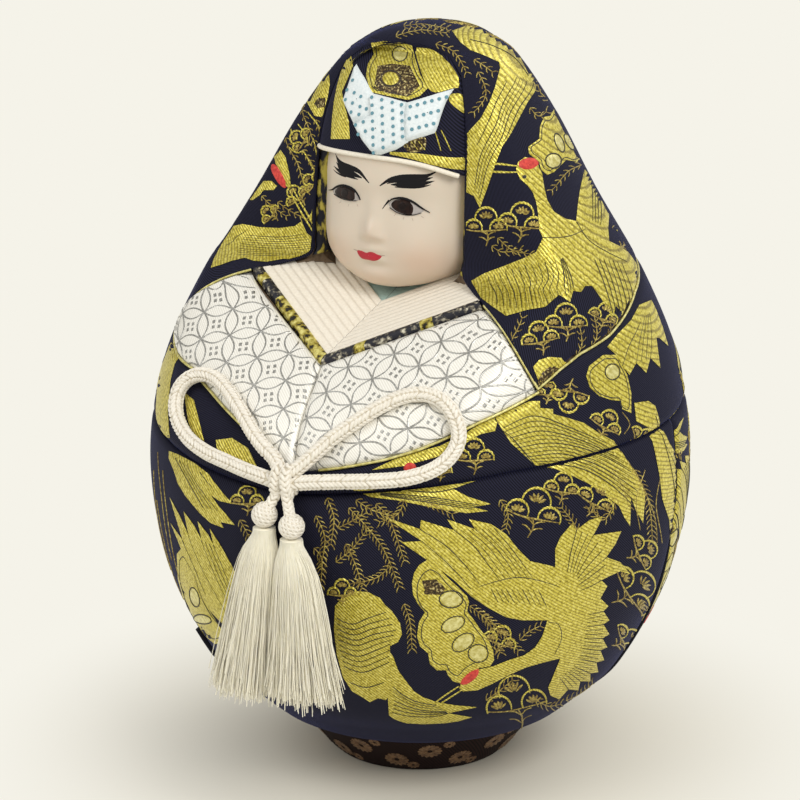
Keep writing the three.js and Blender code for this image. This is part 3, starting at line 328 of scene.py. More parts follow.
def noise(tree, vector, scale, detail):
    made = set_inputs(tree.nodes.new("ShaderNodeTexNoise"), Scale=scale, Detail=detail)
    tree.links.new(vector, made.inputs["Vector"])
    return made.outputs["Fac"]


def wave(tree, vector, scale, distortion, direction="X"):
    made = set_inputs(tree.nodes.new("ShaderNodeTexWave"), Scale=scale, Distortion=distortion)
    made.bands_direction = direction
    tree.links.new(vector, made.inputs["Vector"])
    return made.outputs["Fac"]


def speckle(scale, detail=3.0, stretch=(1, 1, 1)):
    """A pattern of grains in the material of a piece."""
    def pattern(tree):
        return noise(tree, texture_place(tree, "Object", stretch), scale, detail)
    return pattern


def diagonal(scale, distortion):
    """A pattern of slanting ribs that follows a cloth's own threads."""
    def pattern(tree):
        return wave(tree, texture_place(tree, "UV", (1, 1, 1)), scale, distortion, "DIAGONAL")
    return pattern


def textured(name, color, roughness, pattern, stops=(), relief=0.0, **values):
    """A material with one pattern: stops are its colours along it, relief is how deep it is felt."""
    made, tree, shader = new_material(name, color, roughness, **values)
    value = pattern(tree)
    if stops:
        tree.links.new(ramp(tree, value, stops), shader.inputs["Base Color"])
    if relief:
        add_bump(tree, shader, value, relief)
    return made


def add_mesh(name, points, faces, look, uv=None):
    """A smooth mesh object at the origin, from points in the part's frame."""
    mesh = bpy.data.meshes.new(name)
    mesh.from_pydata(np.asarray(points, float).reshape(-1, 3).tolist(), [], [tuple(f) for f in faces])
    if uv is not None:
        layer = mesh.uv_layers.new(name="weave")
        corner = np.zeros(len(mesh.loops), int)
        mesh.loops.foreach_get("vertex_index", corner)
        layer.data.foreach_set("uv", np.asarray(uv, float).reshape(-1, 2)[corner].ravel())
    mesh.polygons.foreach_set("use_smooth", np.ones(len(mesh.polygons), bool))
    mesh.materials.append(look)
    obj = bpy.data.objects.new(name, mesh)
    scene.collection.objects.link(obj)
    return obj


def grid_faces(rows, columns):
    i, j = np.meshgrid(np.arange(columns - 1), np.arange(rows - 1))
    a = (j * columns + i).ravel()
    return np.stack([a, a + 1, a + columns + 1, a + columns], 1)


def finish(obj, body, slot, *nodes_replaced):
    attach(obj, body)
    if nodes_replaced:
        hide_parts(*nodes_replaced)


def paint_nodes(look, *names):
    for name in names:
        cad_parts[name].data.materials.clear()
        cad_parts[name].data.materials.append(look)


# The paste is coloured darker than its own brown: painted shade where it shows in the gaps between the cloth
# pieces.
paste_darkened_as_shade = textured(
    "sawdust_paste_with_painted_shade", (0.13, 0.09, 0.055), 0.95, speckle(700),
    [(0.3, (0.09, 0.06, 0.035)), (0.7, (0.17, 0.12, 0.075))], 0.2 * MM,
)
paint_nodes(paste_darkened_as_shade, "core_front", "core_back", "head_block")

# Hidden pieces: the clay that weighs the doll down, the board that closes it, the neck's dowel, the knot's
# pin, and the felt disc under the foot. They keep their solids and get their own finish.
clay = textured(
    "dried_clay", (0.25, 0.2, 0.16), 0.95, speckle(240),
    [(0.3, (0.18, 0.14, 0.11)), (0.7, (0.33, 0.27, 0.21))], 0.4 * MM,
)
felt = textured(
    "felt", (0.02, 0.02, 0.02), 1.0, speckle(900, 6),
    [(0.3, (0.008, 0.008, 0.01)), (0.7, (0.05, 0.05, 0.05))], 0.3 * MM, Sheen_Weight=0.4,
)
wire = textured(
    "drawn_wire", (0.6, 0.6, 0.62), 0.3, speckle(1, stretch=(900, 60, 900)), (), 0.02 * MM, Metallic=1.0,
)
GRAIN_STRETCH = (1, 0.15, 0.4)
RING_SCALE = 160
RING_WANDER = 6


def year_rings(tree):
    return wave(tree, texture_place(tree, "Object", GRAIN_STRETCH), RING_SCALE, RING_WANDER)


board = textured(
    "sawn_wood", (0.5, 0.34, 0.18), 0.75, year_rings, [(0.1, (0.4, 0.26, 0.13)), (0.9, (0.58, 0.41, 0.23))],
    0.1 * MM,
)
paint_nodes(clay, "ballast")
paint_nodes(board, "base_board", "neck_dowel")
paint_nodes(felt, "base_sheet")
paint_nodes(wire, "bow_pin")

# Brocade: a navy twill that shines blue where it catches the light, woven with gold thread.
# Each cut piece is glued to the body and its edges are tucked into the carved seams.
TUCK = 1.5 * MM
TUCK_WIDTH = 2.8 * MM
CLOTH = 0.7 * MM
navy = textured(
    "navy_twill", (0.006, 0.006, 0.012), 0.7, diagonal(620, 0.4),
    [(0.2, (0.005, 0.005, 0.009)), (0.8, (0.019, 0.019, 0.04))], 0.05 * MM, Sheen_Weight=0.16,
    Sheen_Tint=(0.16, 0.2, 0.75, 1), Sheen_Roughness=0.3, Specular_IOR_Level=0.1,
)


def tucked(distance):
    """How far the cloth sinks into a seam, by the distance to it."""
    return -TUCK * np.clip(1 - distance / TUCK_WIDTH, 0, 1) ** 2


def thicken(obj):
    """Give a cloth its thickness, inwards."""
    thickness = obj.modifiers.new("thickness", "SOLIDIFY")
    thickness.thickness = CLOTH
    thickness.offset = -1


def add_cloth(name, angle, z, edge):
    """A cloth piece over rows of angles and heights, sunk where its edge distance is small."""
    points = skin(angle, z, tucked(edge(angle, z)))
    across = np.linalg.norm(np.diff(points, axis=1), axis=2)
    down = np.linalg.norm(np.diff(points, axis=0), axis=2)
    u = np.pad(np.cumsum(across, axis=1), ((0, 0), (1, 0)))
    v = np.pad(np.cumsum(down, axis=0), ((1, 0), (0, 0)))
    u = u - u[:, [u.shape[1] // 2]]
    way = 1 if angle[0, 1] > angle[0, 0] else -1
    made = add_mesh(name, points, grid_faces(*angle.shape)[:, ::way], navy, np.stack([u, v], -1))
    thicken(made)
    finish(made, "body", "navy_brocade", name)


def seam(rows):
    """A seam's height by degrees from the front, from rows of degrees and shares of the height."""
    rows = sorted(rows)
    degrees = [a for a, _ in rows]
    heights = [s * HEIGHT for _, s in rows]
    return lambda angle: np.interp(np.degrees(angle), degrees, heights)


SEAM = 0.1 * MM
SIDE_SEAM = math.radians(100)
waist = seam([(-180, 0.5), (-110, 0.496), (-60, 0.481), (-38, 0.473), (-6, 0.461), (3, 0.46), (27, 0.479),
              (50, 0.495), (70, 0.5), (110, 0.502), (180, 0.5)])
hood_back = seam([(57.5, 0.591), (64, 0.609), (70.5, 0.622), (82, 0.633), (93, 0.65), (102, 0.664),
                  (114.5, 0.675), (145, 0.69), (180, 0.696)])
CHEST_END = math.radians(57.5)
KNOT_ANGLE = math.radians(3.5)
left_chest_seam = seam([(3.5, 0.486), (14, 0.499), (23, 0.513), (31, 0.529), (43, 0.558), (57.5, 0.587)])
right_chest_seam = seam([(3.5, 0.486), (-7, 0.514), (-15, 0.532), (-25, 0.553), (-35, 0.572),
                         (-57.5, 0.587)])


def turned(angle):
    """The same angle between minus half a turn and half a turn."""
    return (angle + math.pi) % (2 * math.pi) - math.pi


def ruled(low_angle, low, high_angle, high, rows):
    v = np.linspace(0, 1, rows)[:, None]
    return low_angle + (high_angle - low_angle) * v, low + (high - low) * v


# Lower pieces: the lap round the front and the seat round the back, from the hem to the waist seam.
# Both are cut from the navy brocade and glued, with their edges tucked into the waist, hem and side seams.
LAP_ROWS = 84
LAP_COLUMNS = 240
SEAT_COLUMNS = 190
HEM_OVER = 0.1 * MM
lap_edge = {}
gap = SEAM / 2 / RADIUS
for name, middle, half, columns in (
    ("lap_front", 0, SIDE_SEAM, LAP_COLUMNS),
    ("seat_back", math.pi, math.pi - SIDE_SEAM, SEAT_COLUMNS),
):
    angle = np.linspace(middle - half + gap, middle + half - gap, columns)

    def edge(a, z, middle=middle, half=half):
        side = (half - np.abs(turned(a - middle))) * skin_radius(a, z)
        return np.minimum(np.minimum(waist(turned(a)) - SEAM / 2 - z, z - HEM), side)

    lap_edge[name] = edge
    add_cloth(name, *ruled(angle, HEM + HEM_OVER, angle, waist(turned(angle)) - SEAM / 2, LAP_ROWS), edge)

# Sleeves: two bands of the navy brocade from the bow round the sides to a seam down the middle of the back.
# They are glued between the waist seam below and the chest's and the hood's seams above.
SLEEVE_ROWS = 46
SLEEVE_START = 0.65 / 57.3
SLEEVE_END = math.radians(179.6)
FRONT_COLUMNS = 70
BACK_COLUMNS = 130
sleeve_edge = {}
for name, side, chest_seam in (("left_sleeve", 1, left_chest_seam), ("right_sleeve", -1, right_chest_seam)):
    turn = np.concatenate([np.linspace(side * KNOT_ANGLE + SLEEVE_START, CHEST_END, FRONT_COLUMNS)[:-1],
                           np.linspace(CHEST_END, SLEEVE_END, BACK_COLUMNS)])

    def top(a, chest_seam=chest_seam):
        forward = np.abs(a) <= CHEST_END
        return np.where(forward, chest_seam(a), hood_back(np.abs(a))) - SEAM / 2

    def edge(a, z, top=top):
        back = (math.pi - np.abs(a)) * skin_radius(a, z)
        return np.minimum(np.minimum(top(a) - z, z - waist(a) - SEAM / 2), back)

    sleeve_edge[name] = (edge, top)
    low = waist(side * turn) + SEAM / 2
    add_cloth(name, *ruled(side * turn, low, side * turn, top(side * turn), SLEEVE_ROWS), edge)

# Hood: one piece of the navy brocade over the crown, open at the face, its lappets reaching to the chest.
# It is stretched over the core and glued, and its edges are tucked in round the face and at the shoulders.
OPENING_BOTTOM = 30.3 * MM
OPENING_TOP = 27.5 * MM
OPENING_LEVELS = (0.696 * HEIGHT, 0.946 * HEIGHT)
SHOULDER_HALF = 46 * MM
SHOULDER = 0.679 * HEIGHT


def front(z):
    return np.interp(z, carve[:, 0], carve[:, 1])


def opening_angle(z):
    half = np.interp(z, OPENING_LEVELS, (OPENING_BOTTOM, OPENING_TOP))
    return np.arctan2(half, front(z) + lean(z))


BROW = [(0, 0.982), (18, 0.981), (33, 0.978), (46, 0.97)]
BROW_END = BROW[-1][0]
LOBE = [(53, 0.643), (57.5, 0.591)]
FAR = 1.0
side_levels = np.array([0.95, 0.93, 0.891, 0.833, 0.775, 0.74, 0.715, 0.696]) * HEIGHT
shoulder_angle = math.atan2(SHOULDER_HALF, front(SHOULDER) + lean(SHOULDER))
hood_front = [(s * HEIGHT, math.radians(a)) for a, s in BROW]
hood_front += list(zip(side_levels, opening_angle(side_levels)))
hood_front += [(SHOULDER, shoulder_angle)] + [(s * HEIGHT, math.radians(a)) for a, s in LOBE]
front_lengths = length_at(np.array([z for z, _ in hood_front]))
front_angles = np.array([a for _, a in hood_front])


def hood_front_angle(z):
    m = length_at(z)
    return np.where(m < front_lengths[0], 0, np.interp(m, front_lengths, front_angles))


def hood_edge(a, z):
    side = np.abs(a)
    low = z - hood_back(np.maximum(side, CHEST_END)) - SEAM / 2
    edge_angle = hood_front_angle(z)
    before = np.where(edge_angle > 0, (side - edge_angle) * skin_radius(a, z), FAR)
    brow_drop = np.interp(np.degrees(side), [a0 for a0, _ in BROW], [s * HEIGHT for _, s in BROW])
    above_brow = np.where(np.degrees(side) < BROW_END, z - brow_drop, FAR)
    return np.minimum(low, np.maximum(before, np.minimum(above_brow, FAR)))


HOOD_COLUMNS = 150
HOOD_ROWS = ((0, 0.16, 14), (0.16, 0.22, 16), (0.22, 1, 90))
share = np.unique(np.concatenate([np.linspace(*rows) for rows in HOOD_ROWS]))
turn = np.linspace(-1, 1, 2 * HOOD_COLUMNS + 1)[None, :]
back = 1 - np.abs(turn)
seam_length = length_at(hood_back(CHEST_END + (math.pi - CHEST_END) * back) + SEAM / 2)
hood_z = height_at(seam_length * share[:, None])
hood_edge_angle = hood_front_angle(hood_z)
hood_angle = np.where(turn < 0, -1, 1) * (hood_edge_angle + (math.pi - hood_edge_angle) * back)
add_cloth("hood", hood_angle[::-1], hood_z[::-1], hood_edge)

# Woven figures: gold thread laid in strips and patches that stand a little above the twill.
# Cranes, pines and clouds follow the photograph; points are pixels of the picture, widths are pixels too.
PIXEL = 0.335 * MM
EDGE_SINK = 0.06 * MM
LAYERS = 9
LAYER_STEP = 0.012 * MM
STRIP_LIFT = 0.2 * MM
LINE_LIFT = 0.16 * MM
OVAL_LIFT = 0.24 * MM
SHADE_LIFT = 0.22 * MM
CREST_LIFT = 0.4 * MM
DARK_OVER = 0.17 * MM
DARK_WIDTH = 1.5
TWIG_WIDTH = 1.7
RIM_OVER = 0.06 * MM
LEAST_FACE = 1e-9
LEAST_SHRINK = 0.25
MOST_STRETCH = 6
LINE_APART = 26
RIM_GAP = 0.45
RIM_LIFT = 0.4
RIM_WIDTH = 1.7
FINE_WIDTH = 1.0
MERGE_WITHIN = 1e-4
STRIP_ACROSS = np.array([1, 0.55, 0, -0.55, -1])
STRIP_FLANK = 0.8
LINE_TAPER = (0.6, 1, 0.5)
PATCH_MIDDLE = 0.02
PATCH_SPAN = 6
OVAL_POINTS = 16
CLOUD_INSET = 0.86
CLOUD_LINE = 1.4
CLOUD_LINE_LIFT = 0.27 * MM
CLOUD_OVAL_LIFT = 0.3 * MM
NEEDLE_ALONG = 0.75
NEEDLE_ASIDE = 0.65
NEEDLE_BEND = 0.8
PINE_SCALLOPS = ((-0.66, 0.12, 0.46), (0, -0.4, 0.58), (0.66, 0.12, 0.46))
SCALLOP_TURNS = np.linspace(math.pi * 0.92, math.pi * 2.08, 11)
SCALLOP_WIDTH = 3.0
LEAF_TURNS = (-2.5, -2.03, -1.57, -1.11, -0.64)
LEAF_ENDS = (0.16, 0.76)
LEAF_DROP = 0.06
LEAF_WIDTHS = (0.6, 3.2, 3.6, 0.8)
LEAF_LIFT = 0.18 * MM
PINE_STEMS = (((-1.1, 0.18), (-0.4, 0.28), (0.4, 0.24), (1.1, 0.18)), ((0, 0.24), (0.12, 0.6), (0, 1.05)))
STEM_WIDTH = 2.4
PINE_NEEDLES = ((0.1, 0.5, 1), (0.1, 0.5, -1), (0.06, 0.78, 1), (0.06, 0.78, -1))
NEEDLE_STEPS = ((0, 0), (0.2, 0.16), (0.42, 0.2))
NEEDLE_WIDTH = 2.0
SEEN = (-62, 113)
HOOD_SEEN = (-76, 113)
GOLD_TONES = [(0.3, (0.34, 0.27, 0.025)), (0.46, (0.64, 0.54, 0.06)), (0.68, (0.9, 0.8, 0.2))]
STITCH_TONES = [(0.05, (0.5, 0.47, 0.42)), (0.4, (1, 1, 1))]
gold, tree, shader = new_material("gold_thread", (0.6, 0.5, 0.06), 0.38, Metallic=0.45)
mottle = speckle(1100, 5)(tree)
stitch = diagonal(470, 2.0)(tree)
stitched = tree.nodes.new("ShaderNodeVectorMath")
stitched.operation = "MULTIPLY"
tree.links.new(ramp(tree, mottle, GOLD_TONES), stitched.inputs[0])
tree.links.new(ramp(tree, stitch, STITCH_TONES), stitched.inputs[1])
tree.links.new(stitched.outputs["Vector"], shader.inputs["Base Color"])
add_bump(tree, shader, stitch, 0.12 * MM)
pale = textured(
    "pale_gold_thread", (0.72, 0.66, 0.24), 0.4, speckle(700, 4),
    [(0.35, (0.5, 0.43, 0.1)), (0.65, (0.8, 0.74, 0.32))], 0.1 * MM, Metallic=0.4,
)
dark = textured("dark_thread", (0.02, 0.018, 0.015), 0.6, speckle(900, 4), (), 0.1 * MM)
red = textured(
    "red_thread", (0.62, 0.035, 0.025), 0.55, speckle(900, 4),
    [(0.35, (0.45, 0.02, 0.015)), (0.65, (0.72, 0.06, 0.04))], 0.1 * MM,
)
bronze = textured(
    "bronze_thread", (0.1, 0.06, 0.015), 0.4, speckle(1300, 4),
    [(0.4, (0.02, 0.012, 0.006)), (0.55, (0.12, 0.075, 0.02)), (0.68, (0.7, 0.6, 0.25))], 0.12 * MM,
    Metallic=0.5,
)
olive = textured(
    "olive_thread", (0.3, 0.22, 0.05), 0.42, speckle(1200, 4),
    [(0.35, (0.14, 0.09, 0.02)), (0.52, (0.34, 0.25, 0.05)), (0.7, (0.62, 0.52, 0.14))], 0.1 * MM,
    Metallic=0.4,
)
BROCADE_THREADS = {"gold": gold, "pale": pale, "dark": dark, "red": red, "bronze": bronze, "olive": olive}


def unit(v):
    return v / np.maximum(np.linalg.norm(v, axis=-1, keepdims=True), 1e-9)


def path_length(points):
    return np.linalg.norm(np.diff(points, axis=0), axis=1).sum()


def resample(path, step):
    """A smooth curve through points, with even steps, and each new point's share of the way."""
    path = np.asarray(path, float)
    fine = smooth_rows(path, 10) if len(path) > 2 else np.linspace(path[0], path[-1], 12)
    along = np.concatenate([[0], np.cumsum(np.linalg.norm(np.diff(fine, axis=0), axis=1))])
    count = max(int(along[-1] / step), 3) + 1
    at = np.linspace(0, along[-1], count)
    return np.stack([np.interp(at, along, fine[:, i]) for i in range(fine.shape[1])], 1), at / along[-1]


def inside(spots, outline):
    """Which places lie inside a closed outline."""
    result = np.zeros(len(spots), bool)
    for (x0, y0), (x1, y1) in zip(outline, np.roll(outline, -1, axis=0)):
        crosses = (y0 > spots[:, 1]) != (y1 > spots[:, 1])
        at = x0 + (spots[:, 1] - y0) * (x1 - x0) / np.where(y1 == y0, 1, y1 - y0)
        result ^= crosses & (spots[:, 0] < at)
    return result


class ClothSurface:
    """The dressed surface of one cloth piece: what is laid on it stays inside and sinks into its seams."""

    def __init__(self, clamp, sink):
        self.clamp, self.sink, self.turn = clamp, sink, 0.0

    def places(self, pixels):
        return bare_skin(*snap(meet(pixels, outside_skin)))

    def normals(self, points):
        return skin_normal(*snap(points))

    def lay(self, points, lifts):
        angle, z = snap(points)
        angle, z = self.clamp(angle + self.turn, z)
        return bare_skin(angle, z), skin(angle, z, self.sink(angle, z) + lifts)


class Weave:
    """The figures of one piece, gathered as strips and patches and made into one mesh."""

    def __init__(self, name, surface, slot="navy_brocade", threads=BROCADE_THREADS):
        self.name, self.surface, self.slot, self.threads = name, surface, slot, threads
        self.places = surface.places
        self.layer = 0
        self.zone = SEEN
        self.points, self.uv, self.faces, self.kinds = [], [], [], []
        self.count = 0

    def add(self, points, faces, lifts, uv, kind):
        """Lay points and faces on the surface; faces outside the piece or its zone are left out."""
        self.layer = (self.layer + 1) % LAYERS
        base, laid = self.surface.lay(points, lifts + self.layer * LAYER_STEP * (lifts > 0))

        def areas(p):
            q = p.reshape(-1, 3)[faces]
            return np.linalg.norm(np.cross(q[:, 2] - q[:, 0], q[:, -1] - q[:, 1]), axis=1)

        before, after = areas(points), areas(base)
        keep = (after > LEAST_SHRINK * before) & (after > LEAST_FACE) & (after < MOST_STRETCH * before)
        middle, _ = snap(base.reshape(-1, 3)[faces].mean(1))
        first, last = self.zone
        keep &= (middle - math.radians(first)) % (2 * math.pi) < math.radians(last - first)
        self.points.append(laid.reshape(-1, 3))
        self.uv.append(uv.reshape(-1, 2))
        self.faces += (faces[keep] + self.count).tolist()
        self.kinds += [kind] * int(keep.sum())
        self.count += points.size // 3

    def ribbon(self, path, widths, kind="gold", lift=STRIP_LIFT, step=1.3 * MM):
        """A domed strip along points on the surface; widths are spread evenly along it."""
        points, share = resample(path, step)
        width = np.interp(share, np.linspace(0, 1, len(widths)), widths)[:, None] / 2
        tangent = unit(np.gradient(points, axis=0))
        side = unit(np.cross(self.surface.normals(points), tangent))
        across = STRIP_ACROSS[None, :] * width
        rows = points[:, None, :] + side[:, None, :] * across[..., None]
        flank = lift * STRIP_FLANK
        lifts = np.array([-EDGE_SINK, flank, lift, flank, -EDGE_SINK])[None, :] + 0 * width
        length = share * path_length(points)
        uv = np.stack(np.broadcast_arrays(length[:, None], across), -1)
        self.add(rows, grid_faces(*rows.shape[:2]), lifts, uv, kind)

    def line(self, pixels, width=2.2, kind="gold", lift=LINE_LIFT):
        self.band(pixels, [share * width for share in LINE_TAPER], kind, lift)

    def band(self, pixels, widths, kind="gold", lift=STRIP_LIFT):
        self.ribbon(self.places(pixels), [w * PIXEL for w in widths], kind, lift)

    def patch(self, outline, kind="gold", lift=STRIP_LIFT, rings=6, straight=False):
        """A filled shape inside an outline of pixels that sees all of it from its middle."""
        outline = np.array(outline, float)
        closed = smooth_rows(np.vstack([outline[-1:], outline, outline[:2]]), PATCH_SPAN)
        closed = closed[PATCH_SPAN:-PATCH_SPAN]
        if straight:
            closed = np.vstack([outline, outline[:1]])
        rim = self.places(closed)
        middle = rim[:-1].mean(0)
        share = np.linspace(PATCH_MIDDLE, 1, rings + 1)[:, None, None]
        rows = middle + (rim[None, ::-1, :] - middle) * share
        lifts = np.where(share[..., 0] < 1, lift, -EDGE_SINK) + 0 * rows[..., 0]
        uv = np.stack([rows[..., 0] + 0.3 * rows[..., 1], rows[..., 2]], -1)
        self.add(rows, grid_faces(*rows.shape[:2]), lifts, uv, kind)

    def shape(self, outline, lines=(), kind="gold", lift=LINE_LIFT, step=4.0):
        """A figure filled inside an outline of pixels, with dark lines drawn on it."""
        corners = np.array(outline, float)
        rim = []
        for start, end in zip(corners, np.roll(corners, -1, axis=0)):
            count = max(int(np.linalg.norm(end - start) / step), 1)
            rim += [start + (end - start) * k / count for k in range(count)]
        low, high = corners.min(0), corners.max(0)
        across, down = np.meshgrid(np.arange(low[0], high[0], step), np.arange(low[1], high[1], step))
        across[1::2] += step / 2
        spots = np.stack([across.ravel(), down.ravel()], 1)
        spots = spots[inside(spots, corners)]
        rim_gaps = [np.linalg.norm(np.array(rim) - spot, axis=1).min() for spot in spots]
        far = np.array(rim_gaps) > RIM_GAP * step
        flat = np.vstack([rim, spots[far]]) if far.any() else np.array(rim)
        border = [list(range(len(rim)))]
        verts, _, faces, _, _, _ = delaunay_2d_cdt([Vector(p) for p in flat], [], border, 1, MERGE_WITHIN)
        points = self.places([tuple(v) for v in verts])
        faces = np.array(faces)
        corner = points[faces]
        facing = np.cross(corner[:, 1] - corner[:, 0], corner[:, 2] - corner[:, 0])
        outward = (facing * self.surface.normals(corner.mean(1))).sum(1) > 0
        faces = np.where(outward[:, None], faces, faces[:, ::-1])
        low_edge = np.arange(len(points)) < len(rim)
        uv = np.stack([points[:, 0] + 0.3 * points[:, 1], points[:, 2]], -1)
        self.add(points, faces, np.where(low_edge, RIM_LIFT * lift, lift), uv, kind)
        for line in lines:
            self.line(line, DARK_WIDTH, "dark", lift + DARK_OVER)
        for one, other in zip(lines, lines[1:]):
            one, other = np.array(one, float), np.array(other, float)
            if len(one) == len(other) and np.abs(one - other).max() < LINE_APART:
                for share in (1 / 3, 2 / 3):
                    self.line(one + (other - one) * share, FINE_WIDTH, "dark", lift + DARK_OVER)

    def oval(self, middle, long, short, tilt=0.0, kind="gold", lift=OVAL_LIFT, rim=None):
        """An oval of pixels, tilted clockwise in degrees, with a rim line of another thread if asked."""
        turn = np.linspace(0, 2 * math.pi, OVAL_POINTS + 1)[:-1]
        c, s = math.cos(math.radians(tilt)), math.sin(math.radians(tilt))
        x, y = long * np.cos(turn), short * np.sin(turn)
        ring = np.stack([middle[0] + c * x - s * y, middle[1] + s * x + c * y], 1)
        self.patch(ring, kind, lift, rings=4)
        if rim:
            self.band(np.vstack([ring, ring[:1]]), [RIM_WIDTH] * 2, rim, lift + RIM_OVER)

    def cloud(self, outline, ovals):
        """A gold cloud with a dark line inside its rim and ringed ovals."""
        self.shape(outline)
        outline = np.array(outline, float)
        inner = outline.mean(0) + (outline - outline.mean(0)) * CLOUD_INSET
        self.band(np.vstack([inner, inner[:1]]), [CLOUD_LINE] * 2, "dark", CLOUD_LINE_LIFT)
        for x, y, long, short, tilt in ovals:
            self.oval((x, y), long, short, tilt, "pale", CLOUD_OVAL_LIFT, "dark")

    def crest(self, oval, lift=CREST_LIFT):
        """The red crown of a crane's head."""
        self.oval(oval[:2], *oval[2:], "red", lift)

    def lines(self, paths, width, kind="gold", lift=LINE_LIFT):
        for path in paths:
            self.line(path, width, kind, lift)

    def sprigs(self, stems, needle=7.0, gap=5.0):
        for stem in stems:
            self.sprig(stem, needle, gap)

    def pines(self, crowns):
        for x, y, size, tilt in crowns:
            self.pine((x, y), size, tilt)

    def sprig(self, stem, needle, gap, width=1.5):
        """A pine twig: a thin stem with short needles on both sides."""
        line, _ = resample(np.array(stem, float), gap)
        self.line(stem, width, "olive")
        way = unit(np.gradient(line, axis=0))
        for k in range(len(line)):
            for side in (1, -1):
                aside = np.array([-way[k, 1], way[k, 0]]) * side
                tip = line[k] + (way[k] * NEEDLE_ALONG + aside * NEEDLE_ASIDE) * needle
                self.line([line[k], (line[k] + tip) / 2 + aside * NEEDLE_BEND, tip], width, "olive")

    def pine(self, middle, size, tilt):
        """A pine crown drawn in outline: three scallops on a stem, with small leaves inside."""
        c, s = math.cos(math.radians(tilt)), math.sin(math.radians(tilt))

        def at(x, y):
            return (middle[0] + size * (c * x - s * y), middle[1] + size * (s * x + c * y))

        for x0, y0, r in PINE_SCALLOPS:
            self.line([at(x0 + r * math.cos(t), y0 + r * math.sin(t)) for t in SCALLOP_TURNS], SCALLOP_WIDTH)
            for t in LEAF_TURNS:
                ends = [(k * r * math.cos(t), k * r * math.sin(t)) for k in LEAF_ENDS]
                leaf = [at(x0 + x, y0 + y + LEAF_DROP) for x, y in ends]
                self.band(leaf, LEAF_WIDTHS, "olive", LEAF_LIFT)
        for stem in PINE_STEMS:
            self.line([at(x, y) for x, y in stem], STEM_WIDTH, "olive")
        for x0, y0, side in PINE_NEEDLES:
            needle = [at(x0 + x * side, y0 - y) for x, y in NEEDLE_STEPS]
            self.line(needle, NEEDLE_WIDTH, "olive")

    def make(self):
        kinds = list(self.threads)
        first, *others = self.threads.values()
        made = add_mesh(self.name, np.vstack(self.points), self.faces, first, np.vstack(self.uv))
        for look in others:
            made.data.materials.append(look)
        made.data.polygons.foreach_set("material_index", [kinds.index(k) for k in self.kinds])
        used = {corner for face in self.faces for corner in face}
        drop_points(made, [k for k in range(self.count) if k not in used])
        finish(made, "body", self.slot)
        return made


def drop_points(obj, loose):
    """Remove points no face uses."""
    form = bmesh.new()
    form.from_mesh(obj.data)
    form.verts.ensure_lookup_table()
    bmesh.ops.delete(form, geom=[form.verts[int(i)] for i in loose], context="VERTS")
    form.to_mesh(obj.data)
    form.free()


MARGIN = 0.5 * MM
MARGIN_TURN = 0.007
KNOT_TURN = 0.02
CROWN_MARGIN = 0.2 * MM
LEAST_RADIUS = 4 * MM


def lap_clamp(a, z):
    a = np.clip(turned(a), -SIDE_SEAM + MARGIN_TURN, SIDE_SEAM - MARGIN_TURN)
    return a, np.clip(z, HEM + MARGIN, waist(a) - MARGIN)


def seat_clamp(a, z):
    half = math.pi - SIDE_SEAM - MARGIN_TURN
    a = turned(math.pi + np.clip(turned(a - math.pi), -half, half))
    return a, np.clip(z, HEM + MARGIN, waist(a) - MARGIN)


def sleeve_clamp(side):
    top = sleeve_edge["left_sleeve" if side > 0 else "right_sleeve"][1]

    def clamp(a, z):
        a = side * np.clip(side * turned(a), side * KNOT_ANGLE + KNOT_TURN, math.pi - MARGIN_TURN)
        return a, np.clip(z, waist(a) + MARGIN, top(a) - MARGIN)
    return clamp


def hood_clamp(a, z):
    a = turned(a)
    side = np.where(a < 0, -1, 1)
    z = np.minimum(z, HEIGHT - CROWN_MARGIN)
    kept = np.maximum(np.abs(a), hood_front_angle(z) + MARGIN / np.maximum(skin_radius(a, z), LEAST_RADIUS))
    return side * kept, np.maximum(z, hood_back(np.maximum(kept, CHEST_END)) + MARGIN)


# Figures of the lap: a big crane with its head down, clouds, a second crane's wing at the hem.
# They are woven in gold with dark outlines; wings on the doll's right run under the bow. Points are pixels.
LAP_CRANE = [
    (401, 542), (422, 541), (385, 517), (420, 529), (421, 520), (454, 530), (447, 519), (475, 529),
    (469, 519), (491, 524), (506, 534), (518, 549), (530, 561), (548, 565), (555, 567), (555, 549),
    (560, 537), (572, 523), (576, 530), (589, 520), (602, 516), (598, 526), (593, 535), (607, 533),
    (621, 531), (615, 544), (606, 557), (620, 562), (630, 574), (620, 571), (609, 576), (601, 580),
    (607, 586), (600, 598), (608, 606), (603, 611), (609, 620), (603, 624), (609, 634), (602, 638),
    (607, 647), (600, 650), (604, 660), (596, 662), (598, 672), (590, 673), (590, 681), (580, 681),
    (578, 690), (568, 689), (559, 699), (550, 695), (548, 687), (554, 673), (560, 658), (544, 662),
    (526, 667), (508, 675), (491, 684), (477, 690), (463, 691), (459, 688), (464, 676), (479, 669),
    (493, 666), (508, 660), (524, 655), (535, 647), (542, 636), (546, 624), (547, 620), (522, 620),
    (506, 617), (487, 607), (471, 596), (453, 579), (429, 561),
]
